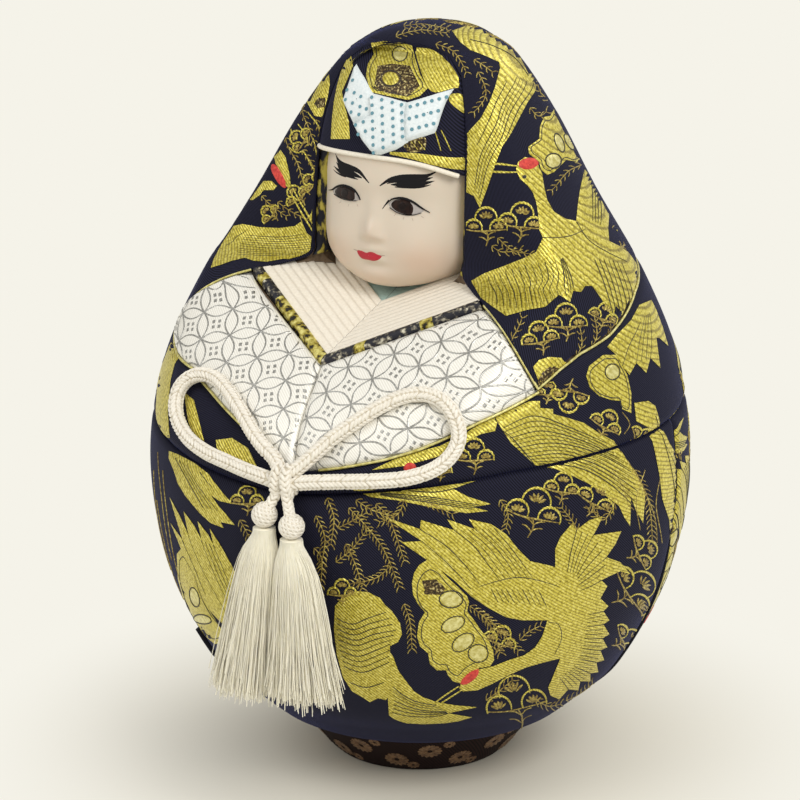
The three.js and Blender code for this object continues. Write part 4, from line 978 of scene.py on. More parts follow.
LAP_CRANE_LINES = [
    [(420, 529), (445, 545), (465, 565), (479, 583)], [(454, 530), (473, 545), (487, 563), (499, 579)],
    [(475, 529), (493, 545), (506, 561), (516, 577)], [(494, 528), (510, 547), (522, 563), (532, 577)],
    [(422, 541), (443, 559), (459, 575), (471, 589)],
    [(479, 586), (500, 580), (518, 577), (538, 580), (558, 586)], [(491, 589), (498, 602)],
    [(506, 589), (514, 602)], [(522, 589), (530, 604)], [(538, 590), (546, 606)],
    [(576, 530), (570, 553), (567, 571)], [(593, 535), (582, 555), (575, 573)],
    [(606, 557), (590, 571), (578, 581)], [(601, 580), (590, 586), (580, 590)], [(603, 611), (588, 614)],
    [(603, 624), (586, 626)], [(602, 638), (584, 638)], [(600, 650), (582, 648)], [(596, 662), (579, 658)],
    [(590, 673), (574, 666)], [(580, 681), (567, 671)], [(568, 689), (559, 677)],
    [(548, 622), (558, 624), (561, 638), (554, 654)],
]
LAP_CRANE_LIFT = 0.26 * MM
LAP_CREST = (470, 677, 12.5, 4.6, -38)
LAP_BEAK = [[(463, 689), (446, 700), (427, 712)], [(459, 686), (444, 696), (428, 708)]]
LAP_CLOUD = [
    (419, 565), (427, 560), (437, 565), (447, 577), (457, 586), (467, 596), (469, 602), (467, 611),
    (474, 620), (480, 629), (488, 639), (493, 650), (494, 660), (490, 666), (479, 668), (467, 675),
    (460, 683), (453, 681), (448, 675), (446, 670), (437, 670), (430, 664), (428, 653), (420, 646),
    (417, 636), (419, 622), (425, 612), (418, 604), (413, 594), (412, 583), (414, 573),
]
LAP_CLOUD_OVALS = [
    (451, 599, 12, 8.5, 0), (453, 624, 12.5, 7, -25), (463, 642, 12.5, 7.5, -35), (478, 653, 10, 9, 0),
]
LAP_CLOUD_SHADE = [(421, 580), (437, 577), (448, 588), (442, 596), (424, 595)]
FOLD_CLOUD = [
    (335, 606), (343, 596), (356, 591), (368, 592), (380, 598), (385, 605), (392, 611), (400, 623),
    (402, 634), (398, 642), (390, 646), (390, 660), (393, 690), (386, 700), (378, 698), (370, 702),
    (362, 697), (352, 691), (343, 677), (337, 655), (334, 630),
]
FOLD_CLOUD_LINES = [
    [(337, 618), (352, 624), (368, 618), (386, 612)], [(338, 634), (356, 640), (374, 634), (396, 630)],
    [(340, 650), (358, 656), (376, 650), (390, 644)], [(344, 666), (362, 672), (380, 666), (389, 662)],
    [(350, 682), (366, 687), (384, 682)],
]
HEM_WING = [
    (389, 715), (394, 719), (406, 723), (423, 724), (445, 723), (459, 721), (472, 717), (459, 715),
    (448, 713), (463, 710), (477, 707), (455, 705), (437, 702), (423, 697), (414, 691), (406, 681),
    (398, 670), (393, 656), (388, 650), (387, 685),
]
HEM_WING_LINES = [
    [(392, 712), (412, 716), (434, 716), (448, 713)], [(394, 700), (408, 706), (424, 710), (446, 711)],
    [(393, 686), (402, 694), (416, 701), (436, 705)],
]
LOOP_FEATHERS = [
    (350, 489), (380, 490), (408, 487), (431, 488), (459, 481), (481, 480), (467, 484), (453, 489),
    (469, 497), (491, 504), (473, 507), (488, 511), (467, 513), (439, 509), (416, 504), (396, 500),
    (370, 497),
]
LOOP_FEATHER_LINES = [
    [(380, 493), (430, 497), (480, 505)], [(380, 495), (428, 502), (472, 509)],
    [(408, 491), (436, 492), (456, 488)],
]
HIP_WING = [
    (169, 451), (176, 454), (192, 463), (208, 474), (217, 485), (224, 494), (233, 504), (220, 501),
    (211, 495), (219, 506), (227, 515), (235, 525), (221, 522), (224, 528), (211, 523), (201, 514),
    (194, 506), (185, 495), (178, 483), (174, 470), (169, 458),
]
HIP_WING_LINES = [
    [(176, 458), (188, 480), (204, 508)], [(187, 465), (199, 486), (218, 511)], [(200, 472), (212, 487)],
]
KNEE_WING = [
    (171, 523), (183, 540), (170, 497), (180, 515), (189, 535), (184, 511), (195, 526), (202, 540),
    (198, 521), (209, 535), (214, 545), (210, 528), (219, 542), (226, 554), (234, 569), (240, 579),
    (237, 601), (233, 619), (227, 627), (219, 620), (210, 610), (202, 597), (196, 581), (188, 565),
    (180, 545),
]
KNEE_WING_LINES = [
    [(189, 535), (199, 561), (215, 592), (226, 611)], [(202, 540), (213, 569), (226, 597)],
    [(214, 545), (224, 569), (233, 592)], [(183, 540), (194, 565), (206, 594)],
]
KNEE_WING_LIFT = 0.22 * MM
KNEE_CLOUD = [
    (177, 554), (181, 549), (186, 556), (194, 570), (199, 586), (206, 604), (215, 619), (226, 633),
    (224, 642), (215, 644), (204, 635), (195, 636), (192, 627), (188, 611), (183, 597), (178, 579),
]
KNEE_CLOUD_OVALS = [(195, 597, 10, 4.5, 75), (203, 619, 9, 4.5, 10)]
LAP_SPRIGS = [
    [(349, 508), (366, 526), (384, 550), (399, 586)], [(336, 562), (352, 549), (366, 531)],
    [(338, 528), (352, 521), (366, 513)], [(390, 566), (376, 578), (350, 584)],
    [(376, 504), (390, 520), (404, 560)], [(470, 606), (488, 622), (500, 652)],
    [(478, 612), (496, 626), (518, 650)], [(634, 470), (648, 500), (652, 540)],
    [(616, 498), (604, 520), (590, 508)], [(356, 500), (372, 510), (392, 516)],
    [(346, 544), (356, 566), (362, 588)], [(404, 500), (398, 514), (380, 522)],
    [(500, 500), (508, 514), (506, 528)], [(580, 540), (574, 524), (562, 508)],
    [(486, 700), (500, 690), (512, 680)], [(536, 700), (548, 706), (560, 704)],
    [(240, 520), (250, 540), (254, 566)], [(246, 590), (256, 606), (258, 640)],
    [(316, 516), (325, 538), (321, 566)], [(327, 498), (334, 518), (331, 544)],
    [(314, 548), (322, 560), (320, 590)], [(420, 500), (436, 506), (452, 514)],
    [(612, 470), (622, 486), (628, 506)], [(640, 600), (646, 620), (640, 650)],
    [(520, 640), (528, 632), (540, 626)], [(404, 604), (410, 622), (412, 648)],
    [(566, 700), (580, 694), (592, 684)],
]
LAP_PINES = [
    (534, 512, 25, 14), (633, 590, 24, 60), (516, 702, 27, -10), (596, 500, 18, 30), (642, 552, 16, 70),
    (247, 500, 15, 0), (342, 592, 13, 0), (562, 488, 16, 10), (500, 640, 15, 20), (626, 640, 15, 70),
    (254, 560, 14, 0), (250, 620, 15, 10),
]
LAP_TWIGS = [
    [(627, 460), (643, 488), (655, 519), (657, 543)], [(662, 470), (656, 505), (662, 543)],
    [(645, 470), (636, 500), (640, 530)], [(158, 452), (162, 500), (172, 560)],
    [(163, 470), (168, 520), (180, 580)], [(154, 470), (160, 530), (170, 570)],
    [(157, 500), (164, 540), (176, 600)],
]
BIG_WING = [
    (497, 421), (496, 416), (515, 408), (530, 401), (540, 401), (540, 408), (553, 409), (553, 414),
    (568, 418), (584, 423), (599, 433), (614, 441), (620, 448), (627, 461), (636, 472), (643, 486),
    (645, 496), (643, 523), (636, 511), (631, 497), (630, 526), (624, 517), (619, 506), (606, 496),
    (589, 484), (573, 476), (556, 469), (535, 465), (523, 454), (511, 443), (503, 431),
]
BIG_WING_LINES = [
    [(503, 428), (533, 416), (566, 426), (606, 443)], [(510, 438), (543, 431), (583, 441), (619, 458)],
    [(516, 448), (553, 443), (594, 452), (631, 472)], [(526, 457), (563, 454), (599, 466), (637, 491)],
    [(540, 464), (576, 467), (607, 482), (634, 507)], [(503, 431), (512, 438), (524, 452), (535, 465)],
]
SIDE_NECK = [
    (634, 403), (648, 401), (655, 406), (660, 423), (669, 443), (679, 459), (686, 471), (685, 496),
    (684, 519), (677, 539), (670, 539), (669, 520), (662, 499), (659, 474), (654, 449), (649, 428),
    (636, 421),
]
SIDE_NECK_LINES = [[(655, 416), (666, 450), (674, 490), (675, 530)], [(662, 440), (676, 470), (680, 510)]]


def shared_figures(w):
    """Figures that cross the waist seam; each cloth keeps the part on its own side."""
    w.shape(BIG_WING, BIG_WING_LINES)
    w.shape(SIDE_NECK, SIDE_NECK_LINES)
    w.shape(LOOP_FEATHERS, LOOP_FEATHER_LINES)
    w.shape(HIP_WING, HIP_WING_LINES)


def lap_figures(w):
    shared_figures(w)
    w.cloud(LAP_CLOUD, LAP_CLOUD_OVALS)
    w.shape(LAP_CLOUD_SHADE, kind="bronze", lift=SHADE_LIFT)
    w.shape(LAP_CRANE, LAP_CRANE_LINES, lift=LAP_CRANE_LIFT)
    w.lines(LAP_BEAK, width=2.2)
    w.crest(LAP_CREST)
    w.shape(FOLD_CLOUD, FOLD_CLOUD_LINES)
    w.shape(HEM_WING, HEM_WING_LINES)
    w.cloud(KNEE_CLOUD, KNEE_CLOUD_OVALS)
    w.shape(KNEE_WING, KNEE_WING_LINES, lift=KNEE_WING_LIFT)
    w.sprigs(LAP_SPRIGS)
    w.pines(LAP_PINES)
    w.lines(LAP_TWIGS, TWIG_WIDTH, "olive")


# Figures of the sleeves: the big wing that crosses the waist, a crane's neck and tail at the side, a cloud.
# They are woven in the same threads, and end where the cloth is tucked in. Points are pixels.
SIDE_CLOUD = [
    (603, 355), (589, 366), (586, 376), (590, 388), (599, 396), (611, 400), (621, 401), (622, 409),
    (631, 413), (631, 393), (627, 375), (621, 363), (616, 355),
]
SIDE_CLOUD_OVALS = [(612, 372, 7.5, 8, 0)]
SIDE_TAIL = [
    (607, 347), (619, 333), (631, 320), (639, 305), (651, 300), (656, 310), (662, 326), (668, 346),
    (659, 338), (656, 338), (660, 368), (650, 358), (646, 373), (636, 363), (629, 375), (622, 366),
    (616, 355),
]
SIDE_TAIL_LINES = [
    [(636, 363), (639, 341), (644, 317)], [(650, 358), (651, 336), (649, 313)],
    [(622, 366), (629, 345), (640, 322)],
]
WAIST_BAND = [
    (372, 470), (400, 456), (440, 446), (466, 433), (480, 424), (495, 416), (497, 423), (495, 431),
    (481, 434), (471, 439), (440, 456), (404, 466),
]
WAIST_CREST = (410, 468, 6.5, 6, 0)
SLEEVE_PINES = [
    (474, 456, 18, 0), (570, 396, 17, 190), (606, 424, 15, 30), (642, 440, 14, 60), (548, 392, 12, 10),
    (440, 470, 11, 0),
]
SLEEVE_TWIGS = [
    [(632, 441), (636, 458), (639, 474)], [(646, 433), (652, 456), (654, 479)],
    [(622, 412), (630, 424), (624, 434)],
]
CHEST_STRIP = [
    (171, 342), (177, 356), (171, 380), (168, 410), (170, 438), (158, 436), (156, 410), (158, 376),
]
BOW_PATCH = [(216, 440), (232, 438), (248, 448), (258, 468), (244, 468), (226, 457), (217, 448)]
BOW_STRIP = [(184, 392), (194, 400), (200, 424), (206, 448), (196, 446), (188, 420)]


def sleeve_figures(w):
    shared_figures(w)
    w.cloud(SIDE_CLOUD, SIDE_CLOUD_OVALS)
    w.shape(SIDE_TAIL, SIDE_TAIL_LINES)
    w.shape(WAIST_BAND)
    w.crest(WAIST_CREST)
    w.pines(SLEEVE_PINES)
    w.lines(SLEEVE_TWIGS, TWIG_WIDTH, "olive")


def right_sleeve_figures(w):
    w.shape(HIP_WING, HIP_WING_LINES)
    for outline in (CHEST_STRIP, BOW_PATCH, BOW_STRIP):
        w.shape(outline)


# Figures of the hood: a flying crane on the doll's left, a wing over the crown, feathers on the lappets.
# A second crane's head and wing lie beside the face on the doll's right. Points are pixels.
HOOD_CRANE = [
    (516, 170), (520, 179), (527, 185), (533, 193), (536, 202), (538, 214), (539, 229), (543, 238),
    (536, 252), (524, 258), (504, 266), (485, 273), (471, 281), (481, 298), (493, 307), (506, 316),
    (527, 310), (545, 307), (559, 295), (564, 298), (570, 302), (573, 291), (581, 292), (585, 286),
    (592, 286), (602, 300), (612, 318), (616, 306), (623, 315), (629, 300), (635, 306), (639, 292),
    (640, 277), (636, 263), (628, 252), (619, 246), (609, 241), (608, 229), (609, 214), (608, 198),
    (602, 183), (594, 171), (586, 164), (583, 175), (580, 189), (578, 202), (576, 221), (566, 219),
    (554, 212), (547, 200), (544, 187), (542, 174), (538, 165), (533, 159), (525, 157), (518, 162),
]
HOOD_CRANE_LINES = [
    [(540, 237), (552, 238), (570, 236), (585, 229)], [(489, 277), (495, 292), (497, 305)],
    [(506, 271), (512, 288), (516, 309)], [(525, 265), (531, 285), (533, 306)],
    [(545, 262), (548, 281), (548, 304)], [(560, 260), (564, 277), (566, 296)],
    [(562, 258), (570, 275), (573, 288)], [(594, 260), (604, 285), (612, 313)],
    [(608, 260), (617, 285), (623, 311)], [(621, 263), (629, 283), (635, 302)],
    [(589, 175), (592, 198), (592, 221)], [(596, 183), (600, 202), (600, 225)],
    [(576, 222), (588, 240), (606, 252), (626, 262)],
]
HOOD_CRANE_LIFT = 0.24 * MM
HOOD_BEAK = [[(517, 166), (500, 164), (481, 164)], [(517, 172), (500, 172), (481, 171)]]
HOOD_CREST = (528, 164, 11, 6.5, -8)
HOOD_EYE = (524, 177, 2.4, 2, 0)
HOOD_CLOUD = [
    (554, 109), (564, 122), (573, 137), (583, 156), (577, 162), (566, 160), (554, 172), (547, 175),
    (541, 170), (539, 162), (529, 154), (528, 147), (539, 139), (540, 126), (544, 117), (550, 116),
]
HOOD_CLOUD_OVALS = [(559, 143, 10, 4, 68), (569, 142, 9, 3.5, 60), (553, 161, 8, 7.5, 0)]
CROWN_WING = [
    (452, 31), (466, 26), (482, 27), (500, 33), (520, 45), (533, 60), (538, 76), (535, 91), (527, 103),
    (518, 120), (510, 135), (502, 147), (497, 160), (487, 189), (480, 208), (474, 196), (466, 192),
    (463, 162), (464, 138), (470, 130), (481, 118), (489, 103), (495, 87), (500, 68), (499, 62), (483, 55),
    (470, 50), (460, 42),
]
CROWN_WING_LINES = [
    [(526, 82), (509, 115), (491, 158), (480, 198)], [(516, 78), (501, 108), (483, 150), (475, 185)],
    [(506, 82), (493, 110), (477, 145)], [(533, 84), (519, 108), (503, 142)],
    [(470, 40), (492, 46), (514, 58), (528, 76)],
]
LAPPET_ARCH = [
    (533, 367), (539, 360), (549, 357), (561, 358), (569, 365), (573, 373), (568, 378), (556, 383),
    (540, 391), (538, 380),
]
LAPPET_SHADE = [(538, 380), (543, 370), (551, 365), (561, 367), (566, 375), (554, 383), (540, 391)]
HOOD_PINES = [
    (486, 226, 19, 0), (521, 222, 20, 8), (566, 322, 19, 0), (540, 338, 17, -10), (604, 316, 14, 20),
    (568, 98, 14, 20), (628, 240, 13, 50), (620, 208, 13, 40), (622, 176, 12, 40), (556, 74, 12, 30),
]
HOOD_SPRIGS = [
    [(586, 162), (570, 170), (552, 190)], [(530, 108), (538, 116), (546, 112)],
    [(498, 238), (512, 250), (530, 254)], [(396, 36), (420, 30), (446, 33)],
    [(436, 44), (454, 52), (466, 72)], [(404, 26), (424, 24), (446, 28)], [(478, 72), (486, 92), (474, 112)],
    [(474, 60), (484, 66), (492, 72)], [(594, 352), (597, 334), (594, 316)],
    [(578, 362), (582, 344), (580, 328)], [(606, 346), (612, 332), (610, 322)],
    [(508, 344), (516, 332), (522, 318)], [(492, 246), (502, 252), (520, 250)],
    [(548, 100), (540, 92), (536, 80)], [(612, 190), (616, 204), (616, 224)],
]
TEMPLE_PATCH = [
    (307, 102), (312, 91), (317, 83), (323, 75), (329, 70), (330, 84), (328, 96), (326, 114), (322, 117),
    (315, 116), (311, 109),
]
TEMPLE_SHADE = [(313, 103), (320, 97), (326, 97), (325, 108), (318, 109)]
SIDE_HEAD = [(274, 157), (281, 150), (286, 158), (290, 176), (291, 188), (286, 186), (281, 172), (276, 164)]
SIDE_CREST = (279, 176, 14, 4.6, 60)
SIDE_BLOB = [
    (260, 186), (264, 181), (272, 181), (277, 186), (274, 190), (264, 190), (260, 195), (253, 200),
    (250, 200),
]
SIDE_BEAK = [
    [(290, 190), (301, 212), (311, 228), (319, 241)], [(293, 188), (305, 210), (315, 228), (322, 240)],
]
SIDE_WING = [
    (234, 226), (243, 224), (259, 227), (279, 228), (295, 226), (302, 221), (307, 233), (316, 240),
    (323, 228), (324, 241), (323, 251), (316, 258), (304, 261), (284, 259), (267, 262), (253, 261),
    (245, 258), (232, 261), (221, 265), (211, 268), (214, 259), (222, 244),
]
SIDE_WING_LINES = [
    [(246, 235), (279, 237), (304, 234)], [(242, 242), (279, 244), (312, 242)],
    [(239, 249), (279, 251), (318, 248)], [(238, 255), (270, 256), (312, 254)],
    [(226, 246), (236, 238), (246, 231)],
]
CHEEK_PATCH = [(309, 216), (317, 206), (320, 214), (318, 223), (312, 221)]
TEMPLE_TWIGS = [
    [(291, 129), (293, 135)], [(296, 133), (297, 140)],
    [(289, 147), (297, 153), (304, 152), (314, 170), (320, 182)], [(308, 112), (316, 122), (322, 132)],
    [(313, 138), (316, 150), (318, 164)], [(298, 124), (306, 134), (308, 146)],
]
TEMPLE_PINES = [(301, 140, 12, -60), (297, 196, 12, -40), (312, 182, 10, -60), (270, 214, 10, -50)]
TEMPLE_SPRIGS = [
    [(286, 138), (297, 162), (306, 192)], [(301, 104), (308, 126), (318, 152)],
    [(278, 202), (292, 212), (312, 222)], [(262, 196), (272, 206), (286, 216)],
    [(316, 120), (322, 140), (324, 166)], [(303, 150), (314, 168), (320, 196)],
]


def hood_left_figures(w):
    w.cloud(HOOD_CLOUD, HOOD_CLOUD_OVALS)
    w.shape(HOOD_CRANE, HOOD_CRANE_LINES, lift=HOOD_CRANE_LIFT)
    w.shape(CROWN_WING, CROWN_WING_LINES)
    w.lines(HOOD_BEAK, width=2.6)
    w.crest(HOOD_CREST, lift=0.42 * MM)
    w.oval(HOOD_EYE[:2], *HOOD_EYE[2:], "dark", CREST_LIFT)
    w.shape(LAPPET_ARCH)
    w.shape(LAPPET_SHADE, kind="bronze", lift=SHADE_LIFT)
    w.pines(HOOD_PINES)
    w.sprigs(HOOD_SPRIGS, needle=6, gap=6)


def hood_right_figures(w):
    for outline in (TEMPLE_PATCH, SIDE_HEAD, SIDE_BLOB, CHEEK_PATCH):
        w.shape(outline)
    w.shape(TEMPLE_SHADE, kind="bronze", lift=SHADE_LIFT)
    w.shape(SIDE_WING, SIDE_WING_LINES)
    w.crest(SIDE_CREST)
    w.lines(SIDE_BEAK, width=2.4, lift=0.3 * MM)
    w.lines(TEMPLE_TWIGS, width=2.0)
    w.pines(TEMPLE_PINES)
    w.sprigs(TEMPLE_SPRIGS, needle=5, gap=6)


def laid(name, clamp, edge, *figures):
    """Make the figures of one cloth piece; each entry has a function, its turn and its zone, in degrees."""
    w = Weave(name, ClothSurface(clamp, lambda a, z: tucked(edge(a, z))))
    for figure, degrees, zone in figures:
        w.surface.turn = math.radians(degrees)
        w.zone = zone
        figure(w)
    return w.make()


figures = {
    "lap_front": laid(
        "lap_front_figures", lap_clamp, lap_edge["lap_front"],
        (lap_figures, 0, SEEN), (lap_figures, -128, (-101, SEEN[0])),
    ),
    "seat_back": laid(
        "seat_back_figures", seat_clamp, lap_edge["seat_back"],
        (lap_figures, 65, (100, 172)), (lap_figures, 165, (172, 262)),
    ),
    "left_sleeve": laid(
        "left_sleeve_figures", sleeve_clamp(1), sleeve_edge["left_sleeve"][0],
        (sleeve_figures, 0, SEEN), (sleeve_figures, 72, (SEEN[1], 181)),
    ),
    "right_sleeve": laid(
        "right_sleeve_figures", sleeve_clamp(-1), sleeve_edge["right_sleeve"][0],
        (right_sleeve_figures, 0, SEEN), (sleeve_figures, -150, (-121, SEEN[0])),
        (sleeve_figures, -222, (-181, -121)),
    ),
    "hood": laid(
        "hood_figures", hood_clamp, hood_edge,
        (hood_left_figures, 0, HOOD_SEEN), (hood_right_figures, 0, HOOD_SEEN),
        (hood_left_figures, 80, (HOOD_SEEN[1], 195)), (hood_left_figures, 172, (195, 360 + HOOD_SEEN[0])),
    ),
}

# Foot: a stiff band of dark red brocade round the base, woven with copper chrysanthemums.
# It is wrapped round the board and turned under at the floor.
FOOT_RADIUS = 31 * MM
FOOT_TOP = 44 * MM
FOOT_HEIGHT = 16.2 * MM
FOOT_COLUMNS = 181
FOOT_UNDER = 5 * MM
FOOT_ROLL = 0.6 * MM
FOOT_LIFT = 0.15 * MM
FOOT_BEND = 0.7 * MM
FOOT_EDGE = 0.4 * MM
FOOT_LIP = 2 * MM
rust = textured(
    "dark_red_brocade", (0.02, 0.008, 0.007), 0.75, diagonal(420, 0.6),
    [(0.2, (0.006, 0.003, 0.003)), (0.8, (0.02, 0.008, 0.007))], 0.06 * MM, Specular_IOR_Level=0.12,
)
copper = textured(
    "copper_thread", (0.42, 0.17, 0.05), 0.45, speckle(800),
    [(0.35, (0.09, 0.045, 0.022)), (0.65, (0.26, 0.15, 0.075))], 0.08 * MM, Metallic=0.4,
)
foot_profile = [(FOOT_RADIUS - FOOT_UNDER, FOOT_LIFT), (FOOT_RADIUS - FOOT_ROLL, FOOT_LIFT),
                (FOOT_RADIUS, FOOT_BEND)]
for t in (0.15, 0.35, 0.55, 0.75, 0.9):
    foot_profile.append((FOOT_RADIUS + (FOOT_TOP - FOOT_RADIUS) * t, FOOT_HEIGHT * t))
foot_profile += [(FOOT_TOP - FOOT_EDGE, FOOT_HEIGHT - FOOT_EDGE), (FOOT_TOP - FOOT_LIP, FOOT_HEIGHT)]
turn = np.linspace(-math.pi, math.pi, FOOT_COLUMNS)
foot_points = np.array([[(r * math.sin(t), -r * math.cos(t), z) for t in turn] for r, z in foot_profile])
foot_uv = np.array([[(t * FOOT_TOP, z) for t in turn] for _, z in foot_profile])
foot = add_mesh("foot_cloth", foot_points, grid_faces(len(foot_profile), FOOT_COLUMNS), rust, foot_uv)
finish(foot, "body", "foot_brocade", "foot_cloth")


def node_tree(name, **inputs):
    """An empty geometry tree with a geometry input, named inputs, and their group nodes."""
    tree = bpy.data.node_groups.new(name, "GeometryNodeTree")
    tree.interface.new_socket("Geometry", in_out="INPUT", socket_type="NodeSocketGeometry")
    for label, kind in inputs.items():
        tree.interface.new_socket(label, in_out="INPUT", socket_type="NodeSocket" + kind)
    tree.interface.new_socket("Geometry", in_out="OUTPUT", socket_type="NodeSocketGeometry")
    return tree, tree.nodes.new("NodeGroupInput"), tree.nodes.new("NodeGroupOutput")


def end_tree(tree, source, group_in, group_out):
    """Make instances real, shade them smooth and give them the tree's material."""
    real = tree.nodes.new("GeometryNodeRealizeInstances")
    smooth = tree.nodes.new("GeometryNodeSetShadeSmooth")
    paint = tree.nodes.new("GeometryNodeSetMaterial")
    tree.links.new(source, real.inputs["Geometry"])
    connect(
        tree, (real, "Geometry", smooth, "Geometry"), (smooth, "Geometry", paint, "Geometry"),
        (group_in, "Material", paint, "Material"), (paint, "Geometry", group_out, "Geometry"),
    )


def run_tree(obj, tree, **values):
    """Put a geometry tree on an object, set its named inputs, and keep the mesh it makes."""
    modifier = obj.modifiers.new("nodes", "NODES")
    modifier.node_group = tree
    for item in tree.interface.items_tree:
        if item.item_type == "SOCKET" and item.in_out == "INPUT" and item.name in values:
            modifier[item.identifier] = values[item.name]
    made = bpy.data.meshes.new_from_object(obj.evaluated_get(bpy.context.evaluated_depsgraph_get()))
    obj.modifiers.remove(modifier)
    obj.data = made
    return obj


scatter_tree, group_in, group_out = node_tree("scatter_stamps", Stamp="Object", Material="Material")
stamp_info = scatter_tree.nodes.new("GeometryNodeObjectInfo")
stamp_turn = scatter_tree.nodes.new("GeometryNodeInputNamedAttribute")
stamp_turn.data_type = "FLOAT_VECTOR"
set_inputs(stamp_turn, Name="turn")
stamps = scatter_tree.nodes.new("GeometryNodeInstanceOnPoints")
connect(
    scatter_tree, (group_in, "Stamp", stamp_info, "Object"), (group_in, "Geometry", stamps, "Points"),
    (stamp_info, "Geometry", stamps, "Instance"), (stamp_turn, "Attribute", stamps, "Rotation"),
)
end_tree(scatter_tree, stamps.outputs["Instances"], group_in, group_out)


def scatter(name, points, normals, ups, stamp, look):
    """Copies of a stamp at points: its Z along the normal, its Y towards the up direction."""
    mesh = bpy.data.meshes.new(name)
    mesh.from_pydata(np.asarray(points, float).tolist(), [], [])
    z = unit(np.asarray(normals, float))
    x = unit(np.cross(np.asarray(ups, float), z))
    y = np.cross(z, x)
    turns = [Matrix((a, b, c)).transposed().to_euler() for a, b, c in zip(x, y, z)]
    layer = mesh.attributes.new("turn", "FLOAT_VECTOR", "POINT")
    layer.data.foreach_set("vector", np.array(turns, float).ravel())
    obj = bpy.data.objects.new(name, mesh)
    scene.collection.objects.link(obj)
    return run_tree(obj, scatter_tree, Stamp=stamp, Material=look)


def stamp_from(name, points, faces):
    """A small mesh to be scattered; it isn't in the scene itself."""
    mesh = bpy.data.meshes.new(name)
    mesh.from_pydata(np.asarray(points, float).tolist(), [], [tuple(f) for f in faces])
    return bpy.data.objects.new(name, mesh)


PETAL_RISE = np.array([0, 0, 0.16 * MM])
PETAL_ROWS = ((0, 0.35), (0.55, 0.9), (0.85, 1.0), (1, 0.45))


def petal_points(count, inner, outer, width):
    """A flower of raised petals round a middle, lying on its Z plane."""
    points, faces = [], []
    for k in range(count):
        turn = 2 * math.pi * k / count
        along = np.array([math.cos(turn), math.sin(turn), 0])
        aside = np.array([-math.sin(turn), math.cos(turn), 0])
        first = len(points)
        for share, wide in PETAL_ROWS:
            middle = along * (inner + (outer - inner) * share)
            half = aside * wide * width / 2
            points += [middle + half, middle + PETAL_RISE, middle - half]
        for row in range(3):
            a = first + 3 * row
            faces += [(a + 1, a, a + 3, a + 4), (a + 2, a + 1, a + 4, a + 5)]
    return points, faces


flower = stamp_from("chrysanthemum", *petal_points(count=14, inner=0.9 * MM, outer=4.3 * MM, width=1.5 * MM))
small_petals = petal_points(count=10, inner=0.5 * MM, outer=2.2 * MM, width=1.1 * MM)
small_flower = stamp_from("small_chrysanthemum", *small_petals)
foot_slope = unit(np.array([FOOT_HEIGHT, 0, FOOT_RADIUS - FOOT_TOP]))
FLOWERS = 20
FLOWER_LIFT = 0.05 * MM


def foot_place(turn, share):
    """A place on the foot's slope and the direction out of it."""
    r = FOOT_RADIUS + (FOOT_TOP - FOOT_RADIUS) * share + FLOWER_LIFT
    out = np.array([math.sin(turn), -math.cos(turn), 0])
    upward = np.array([0, 0, 1])
    return out * r + upward * FOOT_HEIGHT * share, out * foot_slope[0] + upward * foot_slope[2]


for name, stamp, offset, even, odd in (
    ("foot_flowers", flower, 0, 0.66, 0.36),
    ("foot_small_flowers", small_flower, 0.5, 0.85, 0.2),
):
    places, normals = [], []
    for k in range(FLOWERS):
        place, normal = foot_place(2 * math.pi * (k + offset) / FLOWERS, odd if k % 2 else even)
        places.append(place)
        normals.append(normal)
    finish(scatter(name, places, normals, [(0, 0, 1)] * FLOWERS, stamp, copper), "body", "foot_brocade")

# Chest: two plump pieces of pale silver brocade that cross under the collar.
# They are woven with linked circles in grey thread, and padded so that they swell between their seams.
CROSSING = 0.602 * HEIGHT
HOOD_OVER = 2.2 * MM
HOOD_UNDER = 2.4 * MM
CHEST_LEVELS = (0.44 * HEIGHT, 0.72 * HEIGHT)
CHEST_REACH = math.radians(59)
CHEST_ROWS = 70
CHEST_COLUMNS = 110
CHEST_SINES = (0.9, 0.985)
CHEST_ROUNDS = 6
COLLAR_STEEP = 1.2
SEAM_STEEP = 1.4
LINE_ROWS = 60
PROFILE_ROWS = 200
ARC_POINTS = 9
COLLAR_OVER = 1.05
CHEST_RISE = 0.118 * HEIGHT
PAD_RISE = 1.3 * MM
PAD_REACH = 7 * MM
UNDER_COLLAR = 0.6 * MM
LAPPET_TURN = 0.004
MIDDLE_TURN = 0.006
CHEST_HALF = 100 * MM
CELL = 11.4 * MM
CELLS_ACROSS = range(-7, 8)
CELLS_UP = range(-8, 9)
CELL_BULGE = 0.205
CELL_TILT = {1: math.radians(-16), -1: math.radians(20)}
CELL_HOME = (30 * MM, 40 * MM)
CIRCLE_LINE = 0.7 * MM
CIRCLE_LIFT = 0.1 * MM
CELL_DOT = 1.3 * MM
DOT_REACH = 0.6 * MM
DOT_STEP = 0.3 * MM
CELL_DOTS = ((0.4, 0.4), (0.6, 0.4), (0.4, 0.6), (0.6, 0.6))
silver = textured(
    "silver_brocade", (0.86, 0.84, 0.77), 0.4, diagonal(560, 0.5),
    [(0.2, (0.8, 0.77, 0.68)), (0.8, (0.95, 0.925, 0.85))], 0.03 * MM, Metallic=0.1,
)
grey = textured(
    "grey_thread", (0.33, 0.33, 0.31), 0.36, speckle(1500),
    [(0.35, (0.3, 0.295, 0.27)), (0.7, (0.56, 0.55, 0.51))], 0.06 * MM, Metallic=0.75,
)
profile_z = np.linspace(*CHEST_LEVELS, PROFILE_ROWS)
profile_length = np.concatenate([[0], np.cumsum(np.hypot(np.diff(front(profile_z)), np.diff(profile_z)))])


